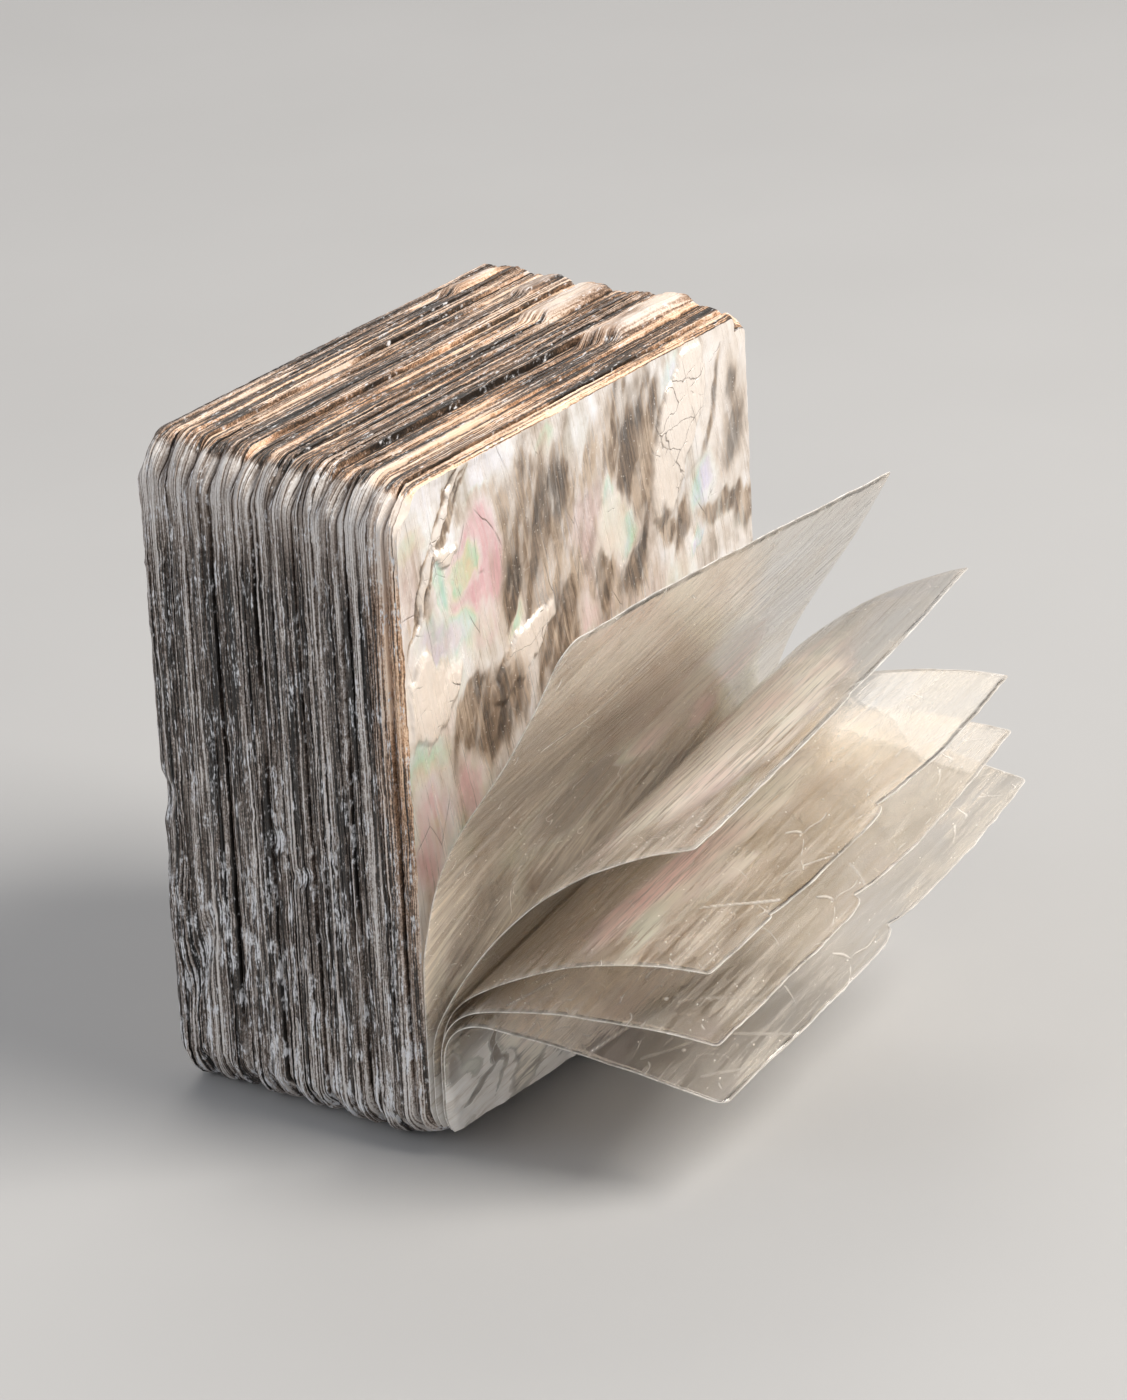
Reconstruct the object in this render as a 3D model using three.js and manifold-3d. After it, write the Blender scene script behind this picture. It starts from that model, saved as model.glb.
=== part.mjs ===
// Mica crystal: a book of cleavage packets that stands on its lower edge, with five thin
// leaves that have split from its front face and fall forward, like the pages of a book.
//
// Millimetres. X runs along the front face, +Y into the depth of the book, Z up. The model is
// laid out from the front face's lower left corner, then moved so that the origin is at the
// middle of the bottom of its bounding box.

import * as THREE from "three";
import { mergeVertices } from "three/addons/utils/BufferGeometryUtils.js";
import Module from "manifold-3d";

// ---- Driving dimensions ----

const BOOK_WIDTH = 62;
const BOOK_HEIGHT = 72.6; // at the left edge
const TOP_RISE = 1.3; // how much higher the right end of the upper edge is
const CORNERS = { lowerLeft: 5, lowerRight: 4, upperRight: 3.4, upperLeft: 5.2 }; // radii
const CORNER_STEPS = 5; // straight edges in each rounded corner
const PACKET_LAP = 0.2; // how far a packet runs into the next one, so that they join

// The packets from front to back: how thick each is, and how far each of its four edges
// stands back from the book's width and height. A negative value stands proud.
const PACKETS = [
  { thick: 1.6, left: 0.5, right: 0.2, top: 0.6, bottom: 1.3 },
  { thick: 2.6, left: 0.1, right: 0.0, top: 0.3, bottom: 0.7 },
  { thick: 3.0, left: 0.4, right: 0.5, top: 0.1, bottom: 0.0 },
  { thick: 2.4, left: 0.0, right: 0.2, top: 0.6, bottom: 0.3 },
  { thick: 3.3, left: 0.5, right: 0.7, top: 0.0, bottom: 0.0 },
  { thick: 2.5, left: 0.1, right: 0.3, top: 0.5, bottom: 0.4 },
  { thick: 2.9, left: 0.6, right: 1.0, top: 0.2, bottom: 0.0 },
  { thick: 2.3, left: 0.2, right: 0.6, top: 0.6, bottom: 0.3 },
  { thick: 3.1, left: 0.6, right: 1.3, top: 0.1, bottom: 0.0 },
  { thick: 2.7, left: 0.3, right: 0.9, top: 0.4, bottom: 0.4 },
  { thick: 3.4, left: 0.7, right: 1.6, top: 0.0, bottom: 0.0 },
  { thick: 3.2, left: 0.6, right: 1.9, top: 0.3, bottom: 0.0 },
];

// A slab near the right end of the top edge that broke off higher than its neighbours.
const RAISED_SLAB = { x0: 44, x1: 59, y0: 5.2, y1: 8.6, rise: 0.9, sink: 8 };

const LEAF_THICKNESS = 0.3;
const LEAF_LOWER_EDGE = 3.2; // height of the leaves' lower edges
const LEAF_COLUMNS = 8;
const BEND_ROWS = 11;
const SPREAD_ROWS = 6;
const PATH_STEP = 0.25; // step used to add up a leaf's curve

// The leaves from the innermost out. Distances along a leaf are square to its hinge line,
// which rises to the right by `tilt` degrees, and start at the book's lower left corner.
//   standoff       how far its middle lies in front of the book's face below the hinge
//   start, end     where its fold begins and where it has turned by `fold` degrees
//   curl           how much it turns past `end`, degrees per millimetre
//   left, right    its side edges, along X
//   tallLeft, tallRight   where its upper edge would reach if it lay flat on the face
const LEAVES = [
  { name: "leaf_1", standoff: 0.35, tilt: 2.5, start: 14.1, end: 44.1, fold: 35.5, curl: -0.45,
    left: 0.7, right: 61.6, tallLeft: 65.6, tallRight: 62.3 },
  { name: "leaf_2", standoff: 1.05, tilt: 12.5, start: 9.7, end: 16.8, fold: 29.5, curl: 1.23,
    left: 0.7, right: 52.8, tallLeft: 56.0, tallRight: 66.2 },
  { name: "leaf_3", standoff: 1.55, tilt: 12.5, start: 9.5, end: 21.5, fold: 61.0, curl: 1.4,
    left: 1.6, right: 56.0, tallLeft: 48.2, tallRight: 61.0 },
  { name: "leaf_4", standoff: 2.05, tilt: 12.5, start: 9.7, end: 21.7, fold: 83.5, curl: 0.85,
    left: 0.7, right: 57.0, tallLeft: 46.0, tallRight: 57.6 },
  { name: "leaf_5", standoff: 2.55, tilt: 12.5, start: 9.9, end: 20.5, fold: 101.0, curl: 0.43,
    left: 0.5, right: 58.7, tallLeft: 45.0, tallRight: 57.2 },
];

// ---- Materials ----

const bookMaterial = new THREE.MeshStandardMaterial({
  color: 0x8d857c,
  roughness: 0.38,
  metalness: 0.15,
});

const leafMaterial = new THREE.MeshStandardMaterial({
  color: 0xc9bba6,
  roughness: 0.12,
  metalness: 0,
  transparent: true,
  opacity: 0.45,
});

// ---- The book ----

/** A rectangle in X and Z with a radius for each corner, as a shape. */
function roundedOutline(x0, x1, z0, z1, { lowerLeft, lowerRight, upperRight, upperLeft }) {
  const quarter = Math.PI / 2;
  const outline = new THREE.Shape();
  outline.moveTo(x0 + lowerLeft, z0);
  outline.absarc(x1 - lowerRight, z0 + lowerRight, lowerRight, -quarter, 0, false);
  outline.absarc(x1 - upperRight, z1 - upperRight, upperRight, 0, quarter, false);
  outline.absarc(x0 + upperLeft, z1 - upperLeft, upperLeft, quarter, 2 * quarter, false);
  outline.absarc(x0 + lowerLeft, z0 + lowerLeft, lowerLeft, 2 * quarter, 3 * quarter, false);
  return outline;
}

/** A slab from y0 to y1 with the given outline in X and Z. */
function slab(outline, y0, y1) {
  const geometry = new THREE.ExtrudeGeometry(outline, {
    depth: y1 - y0,
    bevelEnabled: false,
    curveSegments: CORNER_STEPS,
  });
  geometry.rotateX(Math.PI / 2); // the outline now stands in X and Z, and its depth runs along -Y
  geometry.translate(0, y1, 0);
  return raiseRightEnd(geometry);
}

/** Raises each point by its share of the width and of the height, so the bottom stays flat. */
function raiseRightEnd(geometry) {
  const position = geometry.attributes.position;
  for (let i = 0; i < position.count; i += 1) {
    const share = (position.getX(i) / BOOK_WIDTH) * (position.getZ(i) / BOOK_HEIGHT);
    position.setZ(i, position.getZ(i) + TOP_RISE * share);
  }
  return geometry;
}

/** One packet of the book, whose front is at y0. */
function packetGeometry(packet, y0) {
  const outline = roundedOutline(
    packet.left,
    BOOK_WIDTH - packet.right,
    packet.bottom,
    BOOK_HEIGHT - packet.top,
    CORNERS,
  );
  return slab(outline, y0, y0 + packet.thick);
}

function raisedSlabGeometry() {
  const { x0, x1, y0, y1, rise, sink } = RAISED_SLAB;
  const corners = { lowerLeft: rise, lowerRight: rise, upperRight: rise, upperLeft: rise };
  const outline = roundedOutline(x0, x1, BOOK_HEIGHT - sink, BOOK_HEIGHT + rise, corners);
  return slab(outline, y0, y1);
}

/** A closed three.js geometry as a solid that can be joined to others. */
function toSolid(wasm, geometry) {
  const bare = geometry.clone();
  bare.deleteAttribute("normal");
  bare.deleteAttribute("uv");
  const merged = mergeVertices(bare, 1e-4);
  const mesh = new wasm.Mesh({
    numProp: 3,
    vertProperties: new Float32Array(merged.attributes.position.array),
    triVerts: new Uint32Array(merged.index.array),
  });
  return new wasm.Manifold(mesh);
}

/** A joined solid as a three.js geometry. */
function toGeometry(solid) {
  const { vertProperties, triVerts } = solid.getMesh();
  const geometry = new THREE.BufferGeometry();
  geometry.setAttribute("position", new THREE.BufferAttribute(vertProperties, 3));
  geometry.setIndex(new THREE.BufferAttribute(triVerts, 1));
  geometry.computeVertexNormals();
  return geometry;
}

/** The whole book: every packet and the raised slab, joined in one solid. */
function bookGeometry(wasm) {
  let book = toSolid(wasm, raisedSlabGeometry());
  let front = 0;
  for (const packet of PACKETS) {
    const start = front === 0 ? 0 : front - PACKET_LAP;
    const lapped = { ...packet, thick: packet.thick + front - start };
    book = book.add(toSolid(wasm, packetGeometry(lapped, start)));
    front += packet.thick;
  }
  return toGeometry(book);
}

// ---- The leaves ----

/** How far a leaf has turned away from the face, in radians, at a distance past the corner. */
function turnAt(leaf, distance) {
  const share = THREE.MathUtils.smoothstep(distance, leaf.start, leaf.end);
  const curl = leaf.curl * Math.max(distance - leaf.end, 0);
  return THREE.MathUtils.degToRad(leaf.fold * share + curl);
}

/** The leaf's curve seen from its side: how far up and how far out it has come. */
function curveAt(leaf, distance) {
  let up = Math.min(distance, leaf.start);
  let out = 0;
  const length = Math.max(distance - leaf.start, 0);
  const steps = Math.ceil(length / PATH_STEP);
  for (let i = 0; i < steps; i += 1) {
    const middle = leaf.start + (length * (i + 0.5)) / steps;
    up += (length / steps) * Math.cos(turnAt(leaf, middle));
    out += (length / steps) * Math.sin(turnAt(leaf, middle));
  }
  return { up, out, turn: turnAt(leaf, distance) };
}

/** How far the front packet's rounded lower corners stand back at a height. */
function cornerInset(height) {
  const radius = CORNERS.lowerLeft;
  const below = Math.max(radius + PACKETS[0].bottom - height, 0);
  return radius - Math.sqrt(radius ** 2 - below ** 2);
}

/** The distances past the corner of one column's points, from its lower edge to its upper. */
function columnDistances(leaf, lower, upper) {
  const distances = [lower];
  for (let i = 0; i <= BEND_ROWS; i += 1) {
    distances.push(THREE.MathUtils.lerp(leaf.start, leaf.end, i / BEND_ROWS));
  }
  for (let i = 1; i <= SPREAD_ROWS; i += 1) {
    distances.push(THREE.MathUtils.lerp(leaf.end, upper, i / SPREAD_ROWS));
  }
  return distances;
}

/** The two faces of a leaf at one place: points half its thickness to either side. */
function leafPoints(leaf, x, distance) {
  const tilt = THREE.MathUtils.degToRad(leaf.tilt);
  const along = new THREE.Vector3(Math.cos(tilt), 0, Math.sin(tilt));
  const across = new THREE.Vector3(-Math.sin(tilt), 0, Math.cos(tilt));
  const outward = new THREE.Vector3(0, -1, 0);
  const flatHeight = (distance + x * Math.sin(tilt)) / Math.cos(tilt);
  const { up, out, turn } = curveAt(leaf, distance);
  const middle = new THREE.Vector3()
    .addScaledVector(along, x * Math.cos(tilt) + flatHeight * Math.sin(tilt))
    .addScaledVector(across, up)
    .addScaledVector(outward, out + leaf.standoff);
  const normal = new THREE.Vector3()
    .addScaledVector(across, -Math.sin(turn))
    .addScaledVector(outward, Math.cos(turn));
  const half = LEAF_THICKNESS / 2;
  return {
    front: middle.clone().addScaledVector(normal, half),
    back: middle.clone().addScaledVector(normal, -half),
  };
}

/** A grid of points over a leaf, column by column from left to right. */
function leafGrid(leaf) {
  const tilt = THREE.MathUtils.degToRad(leaf.tilt);
  const distanceOf = (x, height) => height * Math.cos(tilt) - x * Math.sin(tilt);
  const inset = cornerInset(LEAF_LOWER_EDGE);
  const grid = [];
  for (let column = 0; column <= LEAF_COLUMNS; column += 1) {
    const share = column / LEAF_COLUMNS;
    const x = THREE.MathUtils.lerp(leaf.left, leaf.right, share);
    const height = THREE.MathUtils.lerp(leaf.tallLeft, leaf.tallRight, share);
    const lowerX = x + inset * (1 - 2 * share);
    const lower = distanceOf(lowerX, LEAF_LOWER_EDGE);
    const distances = columnDistances(leaf, lower, distanceOf(x, height));
    grid.push(distances.map((d, row) => leafPoints(leaf, row === 0 ? lowerX : x, d)));
  }
  return grid;
}

/** A leaf as one thin closed solid: a front, a back and a rim. */
function leafGeometry(leaf) {
  const grid = leafGrid(leaf);
  const columns = grid.length;
  const rows = grid[0].length;
  const positions = [];
  for (const side of ["front", "back"]) {
    for (const column of grid) {
      for (const point of column) {
        positions.push(...point[side].toArray());
      }
    }
  }
  const front = (column, row) => column * rows + row;
  const back = (column, row) => columns * rows + front(column, row);
  const triangles = [];
  const quad = (a, b, c, d) => triangles.push(a, b, c, a, c, d);
  for (let i = 0; i + 1 < columns; i += 1) {
    for (let j = 0; j + 1 < rows; j += 1) {
      quad(front(i, j), front(i + 1, j), front(i + 1, j + 1), front(i, j + 1));
      quad(back(i, j), back(i, j + 1), back(i + 1, j + 1), back(i + 1, j));
    }
    quad(front(i, 0), back(i, 0), back(i + 1, 0), front(i + 1, 0));
    const top = rows - 1;
    quad(front(i, top), front(i + 1, top), back(i + 1, top), back(i, top));
  }
  for (let j = 0; j + 1 < rows; j += 1) {
    const right = columns - 1;
    quad(front(0, j), front(0, j + 1), back(0, j + 1), back(0, j));
    quad(front(right, j), back(right, j), back(right, j + 1), front(right, j + 1));
  }
  const geometry = new THREE.BufferGeometry();
  geometry.setAttribute("position", new THREE.Float32BufferAttribute(positions, 3));
  geometry.setIndex(triangles);
  geometry.computeVertexNormals();
  return geometry;
}

// ---- The whole crystal ----

function namedMesh(name, geometry, material) {
  const mesh = new THREE.Mesh(geometry, material);
  mesh.name = name;
  return mesh;
}

/** Moves the group so that the origin is at the middle of the bottom of its box. */
function standOnOrigin(group) {
  const box = new THREE.Box3().setFromObject(group);
  const centre = box.getCenter(new THREE.Vector3());
  group.position.set(-centre.x, -centre.y, -box.min.z);
  group.updateMatrixWorld(true);
}

const wasm = await Module();
wasm.setup();

const group = new THREE.Group();
group.add(namedMesh("book", bookGeometry(wasm), bookMaterial));
for (const leaf of LEAVES) {
  group.add(namedMesh(leaf.name, leafGeometry(leaf), leafMaterial));
}
standOnOrigin(group);

export default group;
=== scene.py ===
"""The looks of a mica crystal: a pearly book of packets with five clear leaves.

Lengths in this file are millimetres, laid out from the lower left corner of the book's front
face: X along the face, Y into the depth of the book, Z up. MeshMaker moves every point to its
place in the frame and turns it into metres.
"""

import logging
import math
from dataclasses import dataclass, field
from enum import Enum

import bpy
import numpy as np
from mathutils import Matrix, Vector


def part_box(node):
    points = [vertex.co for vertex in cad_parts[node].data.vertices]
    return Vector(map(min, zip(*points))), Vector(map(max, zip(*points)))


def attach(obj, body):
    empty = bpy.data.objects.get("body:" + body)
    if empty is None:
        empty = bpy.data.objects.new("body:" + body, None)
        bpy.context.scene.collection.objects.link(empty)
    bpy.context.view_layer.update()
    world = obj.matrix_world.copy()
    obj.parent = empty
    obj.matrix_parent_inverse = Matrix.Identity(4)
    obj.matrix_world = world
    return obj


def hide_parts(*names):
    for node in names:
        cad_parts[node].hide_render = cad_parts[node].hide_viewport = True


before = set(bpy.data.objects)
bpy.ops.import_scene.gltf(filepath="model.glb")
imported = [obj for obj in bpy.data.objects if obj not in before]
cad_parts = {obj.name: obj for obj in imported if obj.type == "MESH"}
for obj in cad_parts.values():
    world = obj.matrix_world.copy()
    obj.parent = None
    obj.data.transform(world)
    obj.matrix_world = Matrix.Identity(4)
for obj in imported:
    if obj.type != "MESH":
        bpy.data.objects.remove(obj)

Array = np.ndarray
Triple = tuple[float, float, float]
Colour = Triple
Ramp = tuple[tuple[float, Colour], ...]

LOG = logging.getLogger("mica")
MM = 0.001
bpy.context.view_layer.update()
BOOK_CORNER = np.array(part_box("book")[0]) / MM
CHART_UNIT = 0.01
MICA_IOR = 1.58


# ---- Number helpers -------------------------------------------------------------------------


def smooth(value: Array, low: float = 0.0, high: float = 1.0) -> Array:
    """Eases from 0 at low to 1 at high, as 3t^2 - 2t^3.

    Args:
        value: Numbers to ease.
        low: Where the result leaves 0.
        high: Where the result reaches 1.

    Returns:
        An array of the same shape.
    """
    share = np.clip((np.asarray(value, float) - low) / (high - low), 0.0, 1.0)
    return share * share * (3.0 - 2.0 * share)


class Grain:
    """Seeded value noise: random numbers on a lattice, eased between its corners."""

    SIZE = 4096

    def __init__(self, seed: int) -> None:
        """Draws the lattice.

        Args:
            seed: Picks the pattern.
        """
        draw = np.random.default_rng(seed)
        self.order = draw.permutation(self.SIZE)
        self.values = draw.random(self.SIZE)

    def _corner(self, cell: list[Array], step: tuple[int, int, int]) -> Array:
        """Looks up the lattice's number at a corner of each cell.

        Args:
            cell: Whole lattice coordinates, one array for each axis.
            step: Which corner: 0 or 1 along each axis.

        Returns:
            Numbers from 0 to 1, one for each cell.
        """
        index = np.zeros_like(cell[0])
        for axis in range(3):
            index = self.order[(index + cell[axis] + step[axis]) & (self.SIZE - 1)]
        return self.values[index]

    def at(self, x: Array, y: Array | float = 0.0, z: Array | float = 0.0) -> Array:
        """Reads the noise.

        Args:
            x: First coordinate, in lattice steps.
            y: Second coordinate.
            z: Third coordinate.

        Returns:
            Numbers from 0 to 1, one for each place.
        """
        places = [np.asarray(v, float) for v in np.broadcast_arrays(x, y, z)]
        cell = [np.floor(v).astype(np.int64) for v in places]
        part = [smooth(v - c) for v, c in zip(places, cell)]
        total = np.zeros(places[0].shape)
        for corner in range(8):
            step = (corner & 1, corner >> 1 & 1, corner >> 2)
            weight = np.ones(total.shape)
            for axis in range(3):
                weight = weight * (part[axis] if step[axis] else 1.0 - part[axis])
            total += weight * self._corner(cell, step)
        return total

    def layered(
        self, x: Array, y: Array | float = 0.0, z: Array | float = 0.0, octaves: int = 3
    ) -> Array:
        """Adds octaves of the noise, each twice as fine and half as strong.

        Args:
            x: First coordinate, in lattice steps of the coarsest octave.
            y: Second coordinate.
            z: Third coordinate.
            octaves: How many octaves.

        Returns:
            Numbers from 0 to 1.
        """
        total, strength = np.zeros(np.broadcast(x, y, z).shape), 0.0
        for octave in range(octaves):
            scale, weight = 2.0**octave, 0.5**octave
            total += weight * self.at(x * scale + 31.7 * octave, y * scale, z * scale)
            strength += weight
        return total / strength


# ---- Meshes ---------------------------------------------------------------------------------


@dataclass
class MeshMaker:
    """Collects points, faces and painted values, and makes them one object."""

    name: str
    points: list[Array] = field(default_factory=list)
    looks: list[Array] = field(default_factory=list)
    corners: list[Array] = field(default_factory=list)
    sizes: list[Array] = field(default_factory=list)
    slots: list[Array] = field(default_factory=list)
    charts: list[Array] = field(default_factory=list)
    count: int = 0

    def add_points(self, points: Array, look: Array, chart: Array | None = None) -> Array:
        """Adds points.

        Args:
            points: Places in millimetres, with X, Y and Z last.
            look: Four painted values for each point.
            chart: Places on the flat surface for its pattern, or none to use X and Z.

        Returns:
            The points' numbers, in the shape of the places.
        """
        shape = points.shape[:-1]
        size = int(np.prod(shape))
        chart = points[..., (0, 2)] * CHART_UNIT if chart is None else chart
        self.charts.append(chart.reshape(-1, 2))
        self.points.append(points.reshape(-1, 3))
        self.looks.append(np.broadcast_to(look, (*shape, 4)).reshape(-1, 4))
        ids = np.arange(self.count, self.count + size).reshape(shape)
        self.count += size
        return ids

    def add_faces(self, corners: Array, slot: int = 0) -> None:
        """Adds faces that all have the same number of corners.

        Args:
            corners: Point numbers, one row for each face, counterclockwise from outside.
            slot: Which of the object's materials they take.
        """
        rows = corners.reshape(-1, corners.shape[-1])
        self.corners.append(rows.ravel())
        self.sizes.append(np.full(len(rows), rows.shape[1]))
        self.slots.append(np.full(len(rows), slot))

    def build(self, materials: list[bpy.types.Material], sharp: float) -> bpy.types.Object:
        """Makes the object, in metres and in the frame.

        Args:
            materials: The object's materials, in slot order.
            sharp: Edges that turn by more than this many degrees stay crisp.

        Returns:
            The new object, at the origin and unturned.
        """
        places = (np.concatenate(self.points) + BOOK_CORNER) * MM
        corners = np.concatenate(self.corners).astype(np.int32)
        sizes = np.concatenate(self.sizes)
        starts = (np.cumsum(sizes) - sizes).astype(np.int32)
        mesh = bpy.data.meshes.new(self.name)
        mesh.vertices.add(len(places))
        mesh.vertices.foreach_set("co", places.astype(np.float32).ravel())
        mesh.loops.add(len(corners))
        mesh.loops.foreach_set("vertex_index", corners)
        mesh.polygons.add(len(sizes))
        mesh.polygons.foreach_set("loop_start", starts)
        mesh.polygons.foreach_set("material_index", np.concatenate(self.slots).astype(np.int32))
        mesh.update(calc_edges=True)
        look = mesh.attributes.new("look", "FLOAT_COLOR", "POINT")
        look.data.foreach_set("color", np.concatenate(self.looks).astype(np.float32).ravel())
        chart = mesh.uv_layers.new(name="flat")
        chart.data.foreach_set("uv", np.concatenate(self.charts)[corners].astype(np.float32).ravel())
        mesh.polygons.foreach_set("use_smooth", np.ones(len(sizes), bool))
        mesh.set_sharp_from_angle(angle=math.radians(sharp))
        for material in materials:
            mesh.materials.append(material)
        piece = bpy.data.objects.new(self.name, mesh)
        bpy.context.scene.collection.objects.link(piece)
        return piece


def grid_quads(ids: Array) -> Array:
    """Lists the quads of a grid of points.

    Args:
        ids: Point numbers in two dimensions, a and b.

    Returns:
        Corner rows that turn from a towards b, so they face a x b.
    """
    return np.stack([ids[:-1, :-1], ids[1:, :-1], ids[1:, 1:], ids[:-1, 1:]], -1).reshape(-1, 4)


# ---- Materials ------------------------------------------------------------------------------

Socket = bpy.types.NodeSocket
Feed = float | Socket


class Desk:
    """Lays out one material's nodes."""

    def __init__(self, name: str) -> None:
        """Starts a material with an empty Principled surface.

        Args:
            name: The material's name.
        """
        self.material = bpy.data.materials.new(name)
        self.material.use_nodes = True
        self.tree = self.material.node_tree
        self.surface = self.tree.nodes["Principled BSDF"]

    def add(self, kind: str, **settings: object) -> bpy.types.Node:
        """Adds a node and sets its properties.

        Args:
            kind: The node's type name.
            **settings: Its properties by name.

        Returns:
            The node.
        """
        node = self.tree.nodes.new(kind)
        for key, value in settings.items():
            setattr(node, key, value)
        return node

    def feed(self, target: Socket, source: Feed | Colour) -> None:
        """Links a socket to an input, or sets a plain value on it.

        Args:
            target: The input.
            source: What feeds it: a socket, a number or a colour.
        """
        if isinstance(source, bpy.types.NodeSocket):
            self.tree.links.new(source, target)
        elif isinstance(source, tuple):
            target.default_value = (*source, 1.0)[: len(target.default_value)]
        else:
            target.default_value = source

    def math(self, operation: str, a: Feed, b: Feed = 0.0, clamp: bool = False) -> Socket:
        """Adds a Math node.

        Args:
            operation: Its operation, such as MULTIPLY.
            a: First value.
            b: Second value.
            clamp: Whether to keep the result from 0 to 1.

        Returns:
            The result's socket.
        """
        node = self.add("ShaderNodeMath", operation=operation, use_clamp=clamp)
        self.feed(node.inputs[0], a)
        self.feed(node.inputs[1], b)
        return node.outputs[0]

    def ease(self, value: Feed, low: float, high: float) -> Socket:
        """Eases a value, as smooth does.

        Args:
            value: What to ease.
            low: Where the result leaves 0.
            high: Where the result reaches 1.

        Returns:
            The result's socket.
        """
        node = self.add("ShaderNodeMapRange", interpolation_type="SMOOTHSTEP")
        self.feed(node.inputs["Value"], value)
        node.inputs["From Min"].default_value = low
        node.inputs["From Max"].default_value = high
        return node.outputs["Result"]

    def mix(self, share: Feed, a: Socket | Colour, b: Socket | Colour, how: str = "MIX") -> Socket:
        """Mixes two colours.

        Args:
            share: How much of the second.
            a: First colour.
            b: Second colour.
            how: The blend type.

        Returns:
            The mixed colour's socket.
        """
        node = self.add("ShaderNodeMix", data_type="RGBA", blend_type=how)
        self.feed(node.inputs[0], share)
        self.feed(node.inputs[6], a)
        self.feed(node.inputs[7], b)
        return node.outputs[2]

    def ramp(self, value: Feed, stops: Ramp) -> Socket:
        """Turns a value into a colour.

        Args:
            value: What picks the colour, from 0 to 1.
            stops: Positions with their colours, in order.

        Returns:
            The colour's socket.
        """
        node = self.add("ShaderNodeValToRGB")
        elements = node.color_ramp.elements
        while len(elements) < len(stops):
            elements.new(1.0)
        for element, (position, colour) in zip(elements, stops):
            element.position = position
            element.color = (*colour, 1.0)
        self.feed(node.inputs[0], value)
        return node.outputs[0]

    def stretched(self, coords: Socket, per_mm: Triple, unit: float = MM) -> Socket:
        """Scales coordinates, so that one noise step is 1 / per_mm millimetres on each axis.

        Args:
            coords: The coordinates.
            per_mm: Noise steps per millimetre along each axis.
            unit: How long a millimetre is in the coordinates.

        Returns:
            The scaled coordinates.
        """
        node = self.add("ShaderNodeMapping", vector_type="POINT")
        self.feed(node.inputs["Vector"], coords)
        node.inputs["Scale"].default_value = [rate / unit for rate in per_mm]
        return node.outputs[0]

    def noise(self, vector: Socket, detail: float = 3.0, rough: float = 0.5) -> Socket:
        """Adds a Noise texture.

        Args:
            vector: Prepared coordinates, in noise steps.
            detail: How many finer octaves it has.
            rough: How strong they are.

        Returns:
            The noise, about 0.5 on average.
        """
        node = self.add("ShaderNodeTexNoise")
        self.feed(node.inputs["Vector"], vector)
        node.inputs["Scale"].default_value = 1.0
        node.inputs["Detail"].default_value = detail
        node.inputs["Roughness"].default_value = rough
        return node.outputs[0]

    def cracks(self, vector: Socket, width: float) -> Socket:
        """Adds thin lines, which run between the cells of a Voronoi texture.

        Args:
            vector: Prepared coordinates, in cells.
            width: The distance from the line, in cells, at which it has faded to 0.

        Returns:
            The lines, 1 at their middles.
        """
        node = self.add("ShaderNodeTexVoronoi", feature="DISTANCE_TO_EDGE")
        self.feed(node.inputs["Vector"], vector)
        node.inputs["Scale"].default_value = 1.0
        return self.math("SUBTRACT", 1.0, self.ease(node.outputs["Distance"], 0.0, width))

    def specks(self, vector: Socket, share: float, size: float = 0.11) -> Socket:
        """Adds round dots, 1 at their middles.

        Args:
            vector: Prepared coordinates; one step holds one dot or none.
            share: The share of steps that hold a dot.
            size: A dot's radius, in steps.

        Returns:
            The dots' socket.
        """
        node = self.add("ShaderNodeTexVoronoi", feature="F1")
        self.feed(node.inputs["Vector"], vector)
        node.inputs["Scale"].default_value = 1.0
        split = self.add("ShaderNodeSeparateColor")
        self.feed(split.inputs[0], node.outputs["Color"])
        chosen = self.math("LESS_THAN", split.outputs[0], share)
        radius = self.math("MULTIPLY", self.math("ADD", split.outputs[1], 0.35), size)
        near = self.math("SUBTRACT", 1.0, self.math("DIVIDE", node.outputs["Distance"], radius))
        return self.math("MULTIPLY", chosen, self.ease(near, 0.0, 0.4))

    def sway(self, value: Feed, noise: Socket, strength: float) -> Socket:
        """Adds a noise to a value, centred on 0 and multiplied by a strength.

        Args:
            value: The value.
            noise: The noise.
            strength: How much the whole noise changes the value.

        Returns:
            The sum's socket.
        """
        centred = self.math("MULTIPLY", self.math("SUBTRACT", noise, 0.5), strength)
        return self.math("ADD", value, centred)

    def warped(self, coords: Socket, per_mm: float, reach: float) -> Socket:
        """Moves coordinates about by a noise with so many steps per millimetre.

        Args:
            coords: The coordinates, in metres.
            per_mm: The noise's steps per millimetre.
            reach: How far it moves them, in millimetres.

        Returns:
            The moved coordinates.
        """
        noise = self.add("ShaderNodeTexNoise")
        self.feed(noise.inputs["Vector"], coords)
        noise.inputs["Scale"].default_value = per_mm / MM
        noise.inputs["Detail"].default_value = 2.0
        move = self.add("ShaderNodeVectorMath", operation="MULTIPLY_ADD")
        self.feed(move.inputs[0], noise.outputs["Color"])
        move.inputs[1].default_value = (reach * MM,) * 3
        self.feed(move.inputs[2], coords)
        return move.outputs[0]

    def swirled(self, chart: Socket, per_mm: float, reach: float) -> Socket:
        """Moves UV places about as warped does, in the chart's unit."""
        return self.warped(chart, per_mm * MM / CHART_UNIT, reach * CHART_UNIT / MM)

    def look(self) -> list[Socket]:
        """Reads the painted values.

        Returns:
            Their four sockets.
        """
        paint = self.add("ShaderNodeAttribute", attribute_name="look")
        split = self.add("ShaderNodeSeparateColor")
        self.feed(split.inputs[0], paint.outputs["Color"])
        return [*split.outputs, paint.outputs["Alpha"]]

    def place(self) -> Socket:
        """Object coordinates, in metres."""
        return self.add("ShaderNodeTexCoord").outputs["Object"]

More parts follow.
